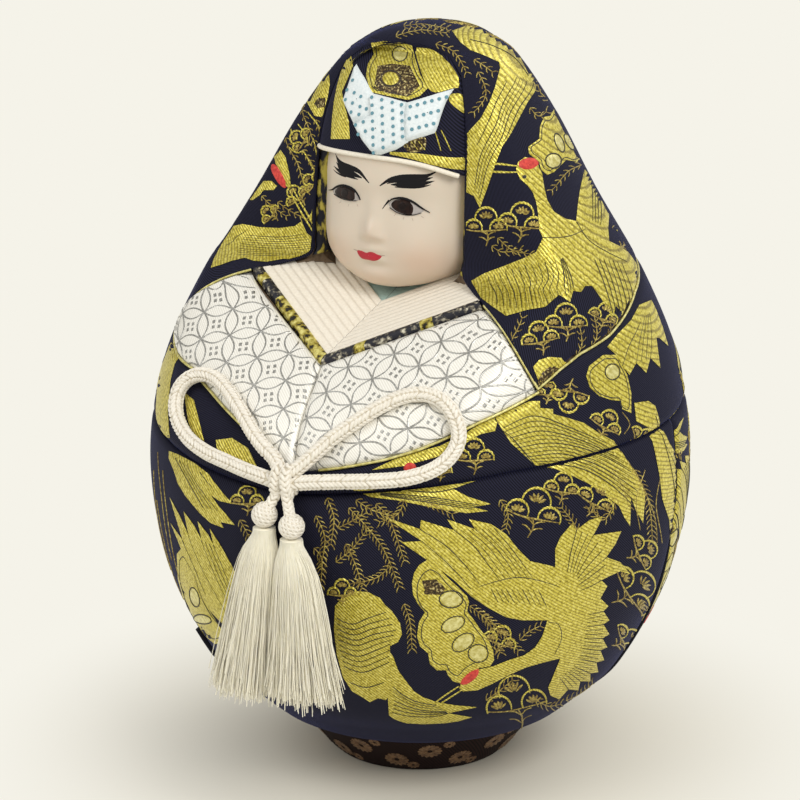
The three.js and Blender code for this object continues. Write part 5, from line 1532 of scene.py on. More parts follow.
def chest_point(x, length):
    """Angle and height at a place across the doll and a length up the carved front."""
    z = np.interp(length, profile_length, profile_z)
    first, most = CHEST_SINES
    angle = np.arcsin(np.clip(x / skin_radius(0 * x, z), -first, first))
    for _ in range(CHEST_ROUNDS):
        angle = np.arcsin(np.clip(x / skin_radius(angle, z), -most, most))
    return angle, z


def collar_line(u):
    """Angle and height along the collar's edge, from the crossing to the shoulder."""
    z = CROSSING + (SHOULDER - CROSSING) * u
    return np.arctan2(SHOULDER_HALF * u, front(z) + lean(z)), z


line_angle, line_z = collar_line(np.linspace(0, COLLAR_OVER, LINE_ROWS))
for name, side, chest_seam in (("left_chest", 1, left_chest_seam), ("right_chest", -1, right_chest_seam)):
    u = np.linspace(0, 1, CHEST_COLUMNS)
    low_angle = KNOT_ANGLE + (side * CHEST_REACH - KNOT_ANGLE) * u
    low = chest_seam(low_angle)
    high_angle, high = collar_line(u * COLLAR_OVER)

    def edge(a, z, chest_seam=chest_seam):
        under = np.interp(np.abs(a), line_angle, line_z)
        steep = np.where(np.abs(a) < line_angle[-1], (under - z) * COLLAR_STEEP, FAR)
        middle = np.abs(a - KNOT_ANGLE * np.clip((CROSSING - z) / CHEST_RISE, 0, 1)) * skin_radius(a, z)
        return np.minimum(np.minimum(steep, (z - chest_seam(a)) * SEAM_STEEP), middle)

    def swell(a, z, edge=edge):
        d = np.clip(edge(a, z), 0, 1)
        covered = np.clip(1 + (np.abs(a) - hood_front_angle(z)) * skin_radius(a, z) / HOOD_OVER, 0, 1)
        return (tucked(d) + PAD_RISE * (1 - np.exp(-d / PAD_REACH))) * (1 - covered) - HOOD_UNDER * covered

    angle, z = ruled(low_angle, low, side * high_angle, high, CHEST_ROWS)
    points = skin(angle, z, swell(angle, z))
    made = add_mesh(name, points, grid_faces(*angle.shape)[:, ::side], silver,
                    np.stack([points[..., 0], np.interp(z, profile_z, profile_length)], -1))
    thicken(made)
    finish(made, "body", "silver_brocade", name)

    def clamp(a, z, side=side, chest_seam=chest_seam):
        most = np.where(z > LOBE[1][1] * HEIGHT, hood_front_angle(z) + LAPPET_TURN, CHEST_END)
        a = side * np.clip(side * a, side * KNOT_ANGLE / 2 + MIDDLE_TURN, most)
        under = np.interp(np.abs(a), line_angle, line_z) - UNDER_COLLAR
        top = np.where(np.abs(a) < line_angle[-1], under, FAR)
        return a, np.clip(z, chest_seam(a) + MARGIN, np.maximum(top, chest_seam(a) + MARGIN))

    w = Weave(name + "_circles", ClothSurface(clamp, swell), "silver_brocade", {"grey": grey})
    tilt = CELL_TILT[side]
    across = np.array([math.cos(tilt), math.sin(tilt)])
    upward = np.array([-math.sin(tilt), math.cos(tilt)])
    home = np.array([side * CELL_HOME[0], CELL_HOME[1]])
    bulge = np.sin(np.linspace(0, math.pi, ARC_POINTS)) * CELL_BULGE * CELL
    along = np.linspace(0, 1, ARC_POINTS)[:, None]
    for i in CELLS_ACROSS:
        for j in CELLS_UP:
            corner = home + (across * i + upward * j) * CELL
            if not 0 < corner[1] < profile_length[-1] or abs(corner[0]) > CHEST_HALF:
                continue
            for way, aside in ((across, upward), (upward, across)):
                for bow in (bulge, -bulge):
                    path = corner + along * way * CELL + bow[:, None] * aside
                    w.ribbon(bare_skin(*chest_point(*path.T)), [CIRCLE_LINE] * 2, "grey", CIRCLE_LIFT)
            for dx, dy in CELL_DOTS:
                dot = corner + (across * dx + upward * dy) * CELL
                path = dot + np.linspace(-DOT_REACH, DOT_REACH, 4)[:, None] * upward
                w.ribbon(bare_skin(*chest_point(*path.T)), [CELL_DOT] * 2, "grey", CIRCLE_LIFT, DOT_STEP)
    w.make()

# Cord: a cream braid with chevrons of slanted stitches, tied in a bow that a pin holds to the waist.
# Tails end in wound balls with tassels of loose thread.
cream_cord = textured(
    "cream_silk", (0.92, 0.87, 0.77), 0.55, speckle(900),
    [(0.3, (0.8, 0.74, 0.62)), (0.7, (0.92, 0.87, 0.77))], 0.06 * MM, Sheen_Weight=0.3,
)
# The filling strand is coloured darker than the stitches: painted shade in the gaps between them.
cord_gap_shade = textured(
    "silk_with_painted_shade", (0.5, 0.43, 0.32), 0.7, speckle(900),
    [(0.3, (0.56, 0.49, 0.37)), (0.7, (0.68, 0.61, 0.48))], 0.06 * MM,
)
sweep_inputs = {"Radius": "Float", "Sides": "Int", "Material": "Material"}
sweep_tree, group_in, group_out = node_tree("sweep_strands", **sweep_inputs)
strand_line = sweep_tree.nodes.new("GeometryNodeMeshToCurve")
ring = sweep_tree.nodes.new("GeometryNodeCurvePrimitiveCircle")
swept_mesh = sweep_tree.nodes.new("GeometryNodeCurveToMesh")
set_inputs(swept_mesh, Fill_Caps=True)
connect(
    sweep_tree, (group_in, "Geometry", strand_line, "Mesh"), (group_in, "Radius", ring, "Radius"),
    (group_in, "Sides", ring, "Resolution"), (strand_line, "Curve", swept_mesh, "Curve"),
    (ring, "Curve", swept_mesh, "Profile Curve"),
)
end_tree(sweep_tree, swept_mesh.outputs["Mesh"], group_in, group_out)


def sweep(name, lines, radius, sides, look):
    """Round strands of one radius along lines of points."""
    points = np.vstack(lines)
    edges, first = [], 0
    for line in lines:
        edges += [(first + k, first + k + 1) for k in range(len(line) - 1)]
        first += len(line)
    mesh = bpy.data.meshes.new(name)
    mesh.from_pydata(points.tolist(), edges, [])
    obj = bpy.data.objects.new(name, mesh)
    scene.collection.objects.link(obj)
    return run_tree(obj, sweep_tree, Radius=radius, Sides=sides, Material=look)


def carried_frames(points):
    """Tangents and two side directions carried along a line without twist."""
    tangent = unit(np.gradient(points, axis=0))
    first = np.cross(tangent[0], (0.3, 0.2, 1))
    side = [unit(first)]
    for t in tangent[1:]:
        side.append(unit(side[-1] - t * np.dot(side[-1], t)))
    side = np.array(side)
    return tangent, side, np.cross(tangent, side)


STITCH_HALF = np.array([1.75, 0.66, 0.6]) * MM
STITCH_SIDES = 10
STITCH_LEVELS = (-0.5, 0.15, 0.65, 0.93, 1)
stitch_points = [(math.cos(t) * math.sqrt(1 - h * h), math.sin(t) * math.sqrt(1 - h * h), h)
                 for h in STITCH_LEVELS for t in np.linspace(0, 2 * math.pi, STITCH_SIDES + 1)[:-1]]
stitch_faces = []
for row in range(0, STITCH_SIDES * (len(STITCH_LEVELS) - 1), STITCH_SIDES):
    for k in range(STITCH_SIDES):
        after = (k + 1) % STITCH_SIDES
        stitch_faces.append((row + k, row + after, row + STITCH_SIDES + after, row + STITCH_SIDES + k))
grain = stamp_from("braid_stitch", np.array(stitch_points) * STITCH_HALF, stitch_faces)
STITCH_COLUMNS = 6
STITCH_STEP = 1.6 * MM
FIRST_STITCH = 0.3 * STITCH_STEP
STITCH_SLANT = math.radians(36)
STITCH_DEPTH = 0.6 * MM
FILLING_DEPTH = 0.45 * MM
PATH_STEP = 0.5 * MM


def join(target, *others):
    """One object from several, keeping the first."""
    form = bmesh.new()
    looks, indices = [], []
    for obj in (target, *others):
        form.from_mesh(obj.data)
        slots = [look.name if look else "" for look in obj.data.materials]
        looks += [name for name in slots if name and name not in looks]
        indices += [looks.index(slots[face.material_index]) for face in obj.data.polygons]
    for other in others:
        bpy.data.objects.remove(other)
    form.to_mesh(target.data)
    form.free()
    target.data.materials.clear()
    for name in looks:
        target.data.materials.append(bpy.data.materials[name])
    target.data.polygons.foreach_set("material_index", indices)
    target.data.polygons.foreach_set("use_smooth", np.ones(len(target.data.polygons), bool))
    return target


def braided(name, path, radius):
    """A braided cord: columns of slanted stitches round a filling strand, and the line it follows."""
    points, share = resample(path, PATH_STEP)
    length = share * path_length(points)
    tangent, a, b = carried_frames(points)
    places, normals, ups = [], [], []
    for column in range(STITCH_COLUMNS):
        turn = 2 * math.pi * column / STITCH_COLUMNS
        slant = STITCH_SLANT if column % 2 else -STITCH_SLANT
        for at in np.arange(FIRST_STITCH, length[-1], STITCH_STEP):
            k = min(int(np.searchsorted(length, at)), len(points) - 1)
            out = a[k] * math.cos(turn) + b[k] * math.sin(turn)
            around = np.cross(tangent[k], out)
            places.append(points[k] + out * (radius - STITCH_DEPTH))
            normals.append(out)
            ups.append(-tangent[k] * math.sin(slant) + around * math.cos(slant))
    outer = scatter(name, places, normals, ups, grain, cream_cord)
    # The darker filling is painted shade between the stitches.
    filling = sweep(name + "_filling", [points[::3]], radius - FILLING_DEPTH, 12, cord_gap_shade)
    return join(outer, filling), points


CORD = 2.6 * MM
KNOT = np.array([5.53, -95.22, 124.2]) * MM
LOOP_ROOTS = ((1.5, 0.6, 1.7), (1.5, 0.6, -1.6))
RIGHT_ROUTE = [
    (0.3, 3.8, 4.4), (-3.4, 6.6, 3.8), (-7.6, 10.2, 3.4), (-12.6, 14.6, 3.2), (-18.5, 18.8, 3.2),
    (-24, 21.5, 3.2), (-28.4, 21.8, 3.2), (-31.2, 19.8, 3.2), (-32.1, 16.2, 3.2), (-30.9, 11.5, 3.2),
    (-27.9, 7.2, 3.2), (-23.3, 3.7, 3.2), (-17.6, 1.5, 3.2), (-11.9, 0.3, 3.3), (-6.2, -1, 3.8),
    (-0.7, -2, 4.5),
]
LEFT_ROUTE = [
    (6.8, 3.6, 4.4), (9, 7.2, 3.8), (12.2, 11.9, 3.4), (16.7, 16.8, 3.2), (21.8, 21.5, 3.2),
    (27.3, 25.1, 3.2), (32.3, 26.4, 3.2), (36.1, 24.9, 3.2), (38.2, 20.7, 3.2), (38.5, 15.3, 3.2),
    (36.7, 9.9, 3.2), (33.2, 5.9, 3.2), (28, 3.3, 3.2), (21.2, 1.6, 3.2), (14.2, 0.2, 3.5), (7.3, -1.6, 4.4),
]
for side, route, spread in (("right", RIGHT_ROUTE, -1), ("left", LEFT_ROUTE, 1)):
    degrees, rise, lift = np.array(route).T
    path = skin(np.radians(degrees), KNOT[2] + rise * MM, lift * MM)
    first, last = (KNOT + np.array([spread * x, y, z]) * MM for x, y, z in LOOP_ROOTS)
    loop, middle = braided(side + "_loop", np.vstack([first, path, last]), CORD)
    finish(loop, side + "_bow_loop", "cord", side + "_loop")

WRAP_CORD = 2.1 * MM
WRAP_TURN = 0.72 * math.pi
WRAP_DEPTH = 2.4 * MM
WRAP_RISE = 4.0 * MM
WRAPS = ((-2.0, 0.5), (2.1, -0.4))
turn = np.linspace(-WRAP_TURN, WRAP_TURN, 15)
knot_pieces = []
for k, (x, tilt) in enumerate(WRAPS):
    path = np.stack([KNOT[0] + (x + tilt * np.sin(turn)) * MM, KNOT[1] - WRAP_DEPTH * np.cos(turn),
                     KNOT[2] + WRAP_RISE * np.sin(turn)], 1)
    knot_pieces.append(braided(f"wrap_{k}", path, WRAP_CORD)[0])
knot = join(*knot_pieces)
knot.name = "bow_knot_braid"
finish(knot, "body", "cord", "bow_knot")

tassel_silk = textured(
    "loose_silk", (0.97, 0.93, 0.8), 0.6, speckle(1500, stretch=(1, 1, 0.1)),
    [(0.3, (0.94, 0.88, 0.68)), (0.7, (1, 0.95, 0.78))], 0.04 * MM, Sheen_Weight=0.8, Sheen_Roughness=0.5,
)
TASSELS = (("right", (0.33, -99.08, 112.6), -6.9, 10.2, 4), ("left", (10.93, -99.21, 110.4), 4.6, 11.2, 8.5))
TAIL_CORD = 1.9 * MM
BALL = 4.4 * MM
WINDING = 0.42 * MM
WINDING_TURNS = 10
WINDING_SHARE = 0.46
WINDING_POINTS = 300
WINDING_POLES = ((0.25, 0.1, 1), (1, 0.2, 0.35))
BALL_FILLING = BALL - 0.5 * MM
BALL_LEVELS = np.linspace(-1.5, 1.5, 13)
SKIRT = 61 * MM
SKIRT_TOP = 4.3 * MM
SKIRT_NECK = SKIRT_TOP - 0.3 * MM
THREADS_EACH = 1900
THREAD = 0.16 * MM
THREAD_SPREAD = (0.8, 0.22)
TURN_JITTER = 0.05
LENGTH_JITTER = (-1.5 * MM, 2.2 * MM)
WANDER = 1.2 * MM
RIPPLE = 0.8 * MM
RIPPLE_START = 6.3
RIPPLE_TURN = 11
STRAY = (1, 0.5, 0)
STRAY_GROWTH = 1.6
GOLDEN_SHARE = 0.381966
GOLDEN_TURN = math.pi * (3 - math.sqrt(5))
SKIRT_FILLING = 0.9
FILLING_SHORT = 5 * MM
ROUND = np.linspace(0, 2 * math.pi, 25)
rng = np.random.default_rng(7)
for side, ball, lean_foot, foot, short in TASSELS:
    ball = np.array(ball) * MM
    away = unit(ball - KNOT)
    tail_path = [KNOT + away * 4 * MM, KNOT + away * 8 * MM, ball - away * 3 * MM]
    tail, _ = braided(side + "_tail", tail_path, TAIL_CORD)
    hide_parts(side + "_tail")
    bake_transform(tail)
    wound = []
    for axis in WINDING_POLES:
        pole = unit(np.array(axis))
        a = unit(np.cross(pole, (0.2, 1, 0.1)))
        b = np.cross(pole, a)
        t = np.linspace(-WINDING_SHARE, WINDING_SHARE, WINDING_POINTS)
        turn = 2 * math.pi * WINDING_TURNS * t
        ring_radius = np.cos(math.pi * t)
        coil = (np.cos(turn) * ring_radius)[:, None] * a + (np.sin(turn) * ring_radius)[:, None] * b
        wound.append(ball + (BALL - WINDING) * (coil + np.sin(math.pi * t)[:, None] * pole))
    winding = sweep(side + "_tassel_ball", wound, WINDING, 6, cream_cord)
    core_rows = np.array([[(math.cos(p) * math.cos(q), math.cos(p) * math.sin(q), math.sin(p))
                           for q in ROUND] for p in BALL_LEVELS])
    core_faces = grid_faces(len(core_rows), len(ROUND))
    filling = add_mesh(side + "_ball_filling", ball + core_rows * BALL_FILLING, core_faces, cream_cord)
    finish(join(winding, filling), side + "_tassel", "cord", side + "_tassel_ball")
    top = ball - (0, 0, BALL)
    threads = []
    skirt_length = SKIRT - short * MM
    skirt_rows = ((0, SKIRT_NECK, 0, 1), (0.05, SKIRT_TOP, 0.03, 0.95),
                  (0.22, SKIRT_TOP / 2 + foot * MM / 2, 0.3, 0.72),
                  (0.6, SKIRT_TOP * 0.25 + foot * MM * 0.75, 0.66, 0.78), (1, foot * MM, 1, 0.85))
    for k in range(THREADS_EACH):
        spread = THREAD_SPREAD[0] + THREAD_SPREAD[1] * ((k * GOLDEN_SHARE) % 1)
        turn = k * GOLDEN_TURN + rng.normal(0, TURN_JITTER)
        out = np.array([math.cos(turn), math.sin(turn), 0])
        long = skirt_length + rng.normal(*LENGTH_JITTER)
        wander = rng.normal(0, WANDER, 2)
        wave_size, wave_start = rng.normal(0, RIPPLE), rng.uniform(0, RIPPLE_START)
        rows = []
        for share, radius, shift, flat in skirt_rows:
            step = out * (1, flat, 1) * spread * radius
            ripple = wave_size * math.sin(wave_start + RIPPLE_TURN * share) * share
            stray = np.array([wander[0] + ripple, wander[1], 0]) * STRAY * share * STRAY_GROWTH
            rows.append(top + step + stray + (lean_foot * MM * shift, 0, -long * share))
        threads.append(smooth_rows(rows, 3))
    skirt = sweep(side + "_tassel_skirt", threads, THREAD, 3, tassel_silk)
    filling_rows = []
    for share, radius, shift, flat in skirt_rows:
        wide = SKIRT_FILLING * radius
        ring = np.stack([wide * np.cos(ROUND), wide * flat * np.sin(ROUND), 0 * ROUND], 1)
        drop = (skirt_length - FILLING_SHORT) * share
        filling_rows.append(top + ring + (lean_foot * MM * shift, 0, -drop))
    filling_rows.insert(0, np.repeat(top[None], len(ROUND), 0))
    filling_rows.append(np.repeat(filling_rows[-1].mean(0)[None], len(ROUND), 0))
    filling_faces = grid_faces(len(filling_rows), len(ROUND))
    filling = add_mesh(side + "_skirt_filling", filling_rows[::-1], filling_faces, tassel_silk)
    finish(join(skirt, filling), side + "_tassel", "cord", side + "_tassel_skirt")

# Collar: a trim of brocade, cream pleats and a pale turquoise inner collar on each side of the V.
# Each is a folded strip laid in the valley behind the chest, running under the hood at the shoulder.
flecked = textured(
    "flecked_brocade", (0.012, 0.012, 0.02), 0.5, speckle(620),
    [(0.5, (0.008, 0.008, 0.014)), (0.58, (0.16, 0.14, 0.1)), (0.7, (0.62, 0.58, 0.44))], 0.1 * MM,
)
gold_flecked = textured(
    "gold_flecked_brocade", (0.5, 0.42, 0.06), 0.4, speckle(420, 4),
    [(0.4, (0.02, 0.016, 0.012)), (0.48, (0.42, 0.33, 0.04)), (0.62, (0.86, 0.78, 0.26))], 0.12 * MM,
    Metallic=0.4,
)
cream = textured(
    "cream_silk_cloth", (0.86, 0.79, 0.66), 0.7, speckle(1200, 2),
    [(0.3, (0.82, 0.745, 0.61)), (0.7, (0.9, 0.835, 0.71))], 0.03 * MM, Sheen_Weight=0.2,
)
turquoise = textured(
    "turquoise_silk", (0.48, 0.66, 0.6), 0.6, speckle(1200, 2),
    [(0.3, (0.44, 0.62, 0.56)), (0.7, (0.54, 0.71, 0.65))], 0.03 * MM, Sheen_Weight=0.2,
)
crossing = np.array([0, -front(CROSSING), CROSSING])
shoulder = np.array([SHOULDER_HALF, -front(SHOULDER), SHOULDER])
COLLAR_SLOPE = 0.355
collar_tilt = (shoulder[2] - crossing[2] - COLLAR_SLOPE * (shoulder[1] - crossing[1])) / SHOULDER_HALF
collar_up = unit(np.array([-collar_tilt, -COLLAR_SLOPE, 1]))
collar_along = unit(shoulder - crossing)
collar_in = np.cross(collar_up, collar_along)
COLLAR_LENGTH = np.linalg.norm(shoulder - crossing)
PLEATS = 10
PLEAT = 2.95 * MM
TRIM = (0.2 * MM, 4.0 * MM)
TRIM_RISE = 1.0 * MM
TRIM_SINK = -1.8 * MM
TRIM_PAST = -1.0 * MM
GOLD_OVER = 0.07 * MM
GOLD_ROWS = 12
PLEAT_START = 3.9 * MM
PLEAT_DROP = -0.16 * MM
PLEAT_FORM = ((0.0, 0.06), (0.3, 0.16), (0.7, 0.22), (0.94, 0.22), (1.0, 0.06))
INNER_FORM = ((0, -2.6), (1, -2.3), (3, -2.2), (6, -2.2), (10, -2.3))
INNER_PAST = 6.0 * MM
GOLD_SPANS = {"left": ((0.2, 0.27), (0.62, 0.7)), "right": ((0.0, 0.66), (0.86, 0.93))}
COLLAR_GAP = 0.05 * MM
COLLAR_END_TILT = 0.14


def collar_strip(name, side, section, look, slot, replaced=(), span=(0, 1), rows=60, past=0.5 * MM):
    """A strip along the collar's edge; its section has places inward and heights, span is the share used."""
    section = np.array(section)
    start = (COLLAR_GAP - collar_in[0] * section[:, 0] - collar_up[0] * section[:, 1]) / collar_along[0]
    end = np.full(len(section), COLLAR_LENGTH + past) - COLLAR_END_TILT * section[:, 0]
    share = np.linspace(span[0], span[1], rows)[:, None]
    along = start + (end - start) * share
    points = (crossing + along[..., None] * collar_along + section[None, :, :1] * collar_in
              + section[None, :, 1:] * collar_up)
    faces = grid_faces(rows, len(section))
    if side < 0:
        points = points * (-1, 1, 1)
        faces = faces[:, ::-1]
    uv = np.stack(np.broadcast_arrays(along, section[None, :, 0]), -1)
    made = add_mesh(name, points, faces, look, uv)
    finish(made, "body", slot, *replaced)


def rounded(first, last, height, low):
    """Section of a strip with rolled edges."""
    steps = [(0, low), (0.06, 0.35 * height), (0.2, 0.8 * height), (0.5, height), (0.8, 0.8 * height),
             (0.94, 0.35 * height), (1, low)]
    return [(first + (last - first) * t, h) for t, h in steps]


pleat_section = []
for k in range(PLEATS):
    pleat_section += [(PLEAT_START + (k + t) * PLEAT, PLEAT_DROP * k + h * MM) for t, h in PLEAT_FORM]
inner_start = PLEAT_START + PLEATS * PLEAT
inner_section = [(inner_start + d * MM, h * MM) for d, h in INNER_FORM]
trim_section = rounded(*TRIM, TRIM_RISE, TRIM_SINK)
gold_section = [(place, height + GOLD_OVER) for place, height in trim_section]
for name, side in (("left", 1), ("right", -1)):
    trim = name + "_trim"
    collar_strip(trim, side, trim_section, flecked, "navy_brocade", (trim,), past=TRIM_PAST)
    for k, span in enumerate(GOLD_SPANS[name]):
        collar_strip(f"{trim}_gold_{k}", side, gold_section, gold_flecked, "navy_brocade", span=span,
                     rows=GOLD_ROWS, past=TRIM_PAST)
    collar_strip(name + "_pleats", side, pleat_section, cream, "cream_pleats", (name + "_pleats",))
    collar_strip(name + "_inner_collar", side, inner_section, turquoise, "turquoise_collar",
                 (name + "_inner_collar",), past=INNER_PAST)

# Face: a moulded mask with a coat of polished oyster-shell white, tinted at the cheeks.
# It is glued to the front of the head, under the hood.
FACE_WIDTH = [
    (171.8, 0.4), (172.2, 8), (173.2, 14), (174.7, 18.4), (177, 22.8), (180, 26.3), (184, 28.8), (189, 29.8),
    (195, 30.1), (203, 30.1), (212, 29.6), (222, 28),
]
FACE_DEPTH = [
    (171.8, 17), (172.4, 22.6), (174, 26.4), (177.5, 29), (182, 30.1), (188, 30.5), (195, 30.3), (203, 29.8),
    (212, 29.8), (222, 28.2),
]
FACE_FORMS = [
    (0, 193.2, 3.2, 3.6, 2.6), (0, 200, 3.0, 6.5, 1.1), (3.3, 191.6, 1.7, 1.6, 0.7),
    (-3.3, 191.6, 1.7, 1.6, 0.7), (0, 186.9, 4.6, 1.5, 1.0), (0, 183.7, 3.6, 1.5, 1.1),
    (0, 181, 5, 1.6, -0.5), (0, 176.8, 6.5, 3.6, 1.1), (16, 189, 9, 8, 1.7), (-16, 189, 9, 8, 1.7),
    (12, 203.4, 8, 4.2, -0.7), (-12, 203.4, 8, 4.2, -0.7), (11, 210, 10, 3, 0.5), (-11, 210, 10, 3, 0.5),
]
width_rows = smooth_rows(FACE_WIDTH)
depth_rows = smooth_rows(FACE_DEPTH)
ROUNDNESS = 2.45
FACE_LEAST_HALF = 0.3 * MM
SLOPE_STEP = 0.2 * MM


def soft_spots(spots, x, z):
    """The sum of soft spots, each with its place, its size and how much it adds, in millimetres."""
    total = 0 * x
    for x0, z0, wide, tall, amount in spots:
        total = total + amount * np.exp(-((x / MM - x0) / wide) ** 2 - ((z / MM - z0) / tall) ** 2)
    return total


def face_depth(x, z):
    half = np.interp(z / MM, width_rows[:, 0], width_rows[:, 1]) * MM
    deep = np.interp(z / MM, depth_rows[:, 0], depth_rows[:, 1]) * MM
    reach = np.clip(1 - np.abs(x / np.maximum(half, FACE_LEAST_HALF)) ** ROUNDNESS, 0, 1) ** (1 / ROUNDNESS)
    return deep * reach + soft_spots(FACE_FORMS, x, z) * MM


class FrontSurface:
    """A surface seen from the front, given by its depth at each place across and up."""

    def __init__(self, depth):
        self.depth = depth

    def places(self, pixels):
        return meet(pixels, lambda q: -q[..., 1] - self.depth(q[..., 0], q[..., 2]))

    def normals(self, points):
        x, z, h = points[..., 0], points[..., 2], SLOPE_STEP
        slope_x = (self.depth(x + h, z) - self.depth(x - h, z)) / (2 * h)
        slope_z = (self.depth(x, z + h) - self.depth(x, z - h)) / (2 * h)
        return unit(np.stack([-slope_x, -1 + 0 * x, -slope_z], -1))

    def lay(self, points, lifts):
        base = np.stack([points[..., 0], -self.depth(points[..., 0], points[..., 2]), points[..., 2]], -1)
        return base, base + self.normals(base) * np.asarray(lifts)[..., None]


face_skin, tree, shader = new_material(
    "shell_white", (0.74, 0.6, 0.45), 0.36, Subsurface_Weight=0.12, Subsurface_Radius=(0.006, 0.003, 0.002),
    Subsurface_Scale=0.4,
)
blush = tree.nodes.new("ShaderNodeVertexColor")
blush.layer_name = "blush"
tree.links.new(blush.outputs["Color"], shader.inputs["Base Color"])
add_bump(tree, shader, speckle(500, 2)(tree), 0.02 * MM)
FACE_COLUMNS = 121
FACE_BOTTOM = FACE_WIDTH[0][0]
JAW = 8
JAW_ROWS = 24
JAW_CROWDING = 1.8
FACE_ROWS = 110
FACE_TOP = 219.5
FACE_SWING = math.radians(86)
PLAIN = np.array([0.67, 0.575, 0.46])
WARM = np.array([0.7, 0.51, 0.385])
BLUSH = ((17, 184, 9, 7, 0.75), (-17, 184, 9, 7, 0.6), (0, 176, 8, 4, 0.45), (0, 192, 4, 4, 0.3))
low_rows = FACE_BOTTOM + JAW * (np.linspace(0, 1, JAW_ROWS) ** JAW_CROWDING)
levels = np.concatenate([low_rows[:-1], np.linspace(FACE_BOTTOM + JAW, FACE_TOP, FACE_ROWS)]) * MM
swing = np.linspace(-FACE_SWING, FACE_SWING, FACE_COLUMNS)
half = np.interp(levels / MM, width_rows[:, 0], width_rows[:, 1]) * MM
face_x = half[:, None] * (np.sign(np.sin(swing)) * np.abs(np.sin(swing)) ** (2 / ROUNDNESS))[None, :]
face_z = np.repeat(levels[:, None], FACE_COLUMNS, 1)
face_points = np.stack([face_x, -face_depth(face_x, face_z), face_z], -1)
face = add_mesh("face_mask", face_points, grid_faces(*face_x.shape), face_skin)
tint = soft_spots(BLUSH, face_x, face_z)
tone = PLAIN + (WARM - PLAIN) * np.clip(tint, 0, 1)[..., None]
layer = face.data.color_attributes.new("blush", "FLOAT_COLOR", "POINT")
layer.data.foreach_set("color", np.concatenate([tone, np.ones((*tint.shape, 1))], -1).ravel())
finish(face, "body", "face_paint", "face_mask")

# Painted features: brows with split ends, lower lashes and lips, brush-drawn on the mask in ink and red.
# Each stroke is a thin strip with its widths along it. Points and widths are pixels.
ink = textured(
    "black_ink", (0.008, 0.007, 0.008), 0.6, speckle(1500, 2), (), 0.03 * MM, Specular_IOR_Level=0.15,
)
lip = textured("lip_red", (0.45, 0.01, 0.025), 0.35, speckle(1500, 2), (), 0.03 * MM)
faint = textured("pale_ink", (0.42, 0.32, 0.25), 0.5, speckle(1500, 2), (), 0.03 * MM)
INK = 0.05 * MM
BROWS = (
    ([(369, 183), (359, 171.5), (349, 167.5), (340, 163), (335.4, 153.5)], [1.4, 5, 8.5, 8, 0.4]),
    ([(362, 178), (354, 174.5), (347, 172), (341, 169), (336.5, 162)], [1.2, 7, 9.5, 7, 0.4]),
    ([(358, 179.5), (350, 176.5), (343, 173.5), (338, 170), (334, 166)], [0.8, 4, 5.5, 4, 0.4]),
    ([(346, 177), (340, 174.5), (336, 172), (333.6, 169.5)], [1.5, 2.4, 2, 0.4]),
    ([(379.8, 185.8), (390, 179.5), (402, 177), (416, 176.5), (428, 175.5), (438, 170.6)],
     [1.2, 4.5, 6, 6, 4.5, 0.4]),
    ([(387, 183.5), (397, 180.5), (410, 180.5), (422, 180), (433, 177.5)], [1, 5.5, 8, 7, 0.4]),
    ([(391, 184.6), (402, 184.5), (415, 184.5), (426, 183), (434.5, 181)], [1, 6.5, 7.5, 5.5, 0.4]),
    ([(395, 187), (406, 187), (418, 187), (426, 186), (431, 184.6)], [1, 3.4, 4, 3, 0.4]),
)
EYE_CORNER = ([(389, 200), (385.5, 204.5), (382.3, 209)], [2.2, 1.8, 0.8])
LASHES = [
    [(341, 201.5), (339, 203.5)], [(349, 204), (348, 206.5)], [(357, 204), (358, 206.5)],
    [(396, 213.5), (394, 216)], [(404, 217), (403, 219.6)], [(412, 218), (413, 220.6)],
    [(421, 216), (424, 218)],
]
LIPS = [
    (356.6, 250.2), (361.2, 250.6), (366.2, 252.6), (369, 251.9), (372.6, 252.1), (378.4, 254.6),
    (382.4, 255.9), (380, 259.4), (374.4, 261.2), (368.2, 260.2), (362, 258.8), (358.2, 255.2),
]
LIP_CORNERS = (
    ([(353.6, 249.2), (355.6, 250), (358, 250.9)], [1, 1.8, 1.2]),
    ([(377.5, 255.4), (381, 255.6), (385, 255.6)], [1.4, 1.8, 0.8]),
)
front_face = FrontSurface(face_depth)
w = Weave("face_features", front_face, "face_paint", {"gold": ink, "dark": faint, "red": lip})
for path, widths in (*BROWS, EYE_CORNER):
    w.band(path, widths, lift=INK)
w.lines(LASHES, width=0.7, kind="dark", lift=INK)
w.patch(LIPS, "red", INK)
for path, widths in LIP_CORNERS:
    w.band(path, widths, "dark", INK)
w.make()

# Eyes: glass set in the mask, dark brown with a little white, under a dark upper lid.
# White, iris and pupil are layers of glass; a painted line goes round each. Points and widths are pixels.
white = textured(
    "eye_white", (0.42, 0.38, 0.35), 0.2, speckle(400, 2), (), 0.01 * MM, Specular_IOR_Level=0.3,
)
brown = textured(
    "eye_brown", (0.03, 0.014, 0.01), 0.16, speckle(900, 2, (1, 1, 0.3)),
    [(0.35, (0.01, 0.005, 0.004)), (0.65, (0.03, 0.014, 0.01))], Specular_IOR_Level=0.18,
)
black = textured(
    "eye_black", (0.012, 0.007, 0.006), 0.16, speckle(900, 2), (), 0.01 * MM, Specular_IOR_Level=0.18,
)
EYE_LOOKS = {"gold": ink, "white": white, "brown": brown, "black": black}
EYE_LIFTS = {"white": 0.22 * MM, "brown": 0.38 * MM, "black": 0.44 * MM, "lid": 0.5 * MM, "under": 0.42 * MM}
PUPIL = (4.6, 5.4, 20)
LID_WIDTHS = [0.6, 1.8, 2.6, 2.8, 2.4, 1.8, 0.5]
UNDER_WIDTHS = [0.5, 0.9, 0.5]
RIGHT_RIM = [
    (332.5, 190.8), (336, 187.2), (344.4, 186), (352.8, 189), (357.6, 194.2), (359.9, 199.6), (356.5, 200.9),
    (348.6, 200.4), (340.2, 197.9), (334.6, 194),
]
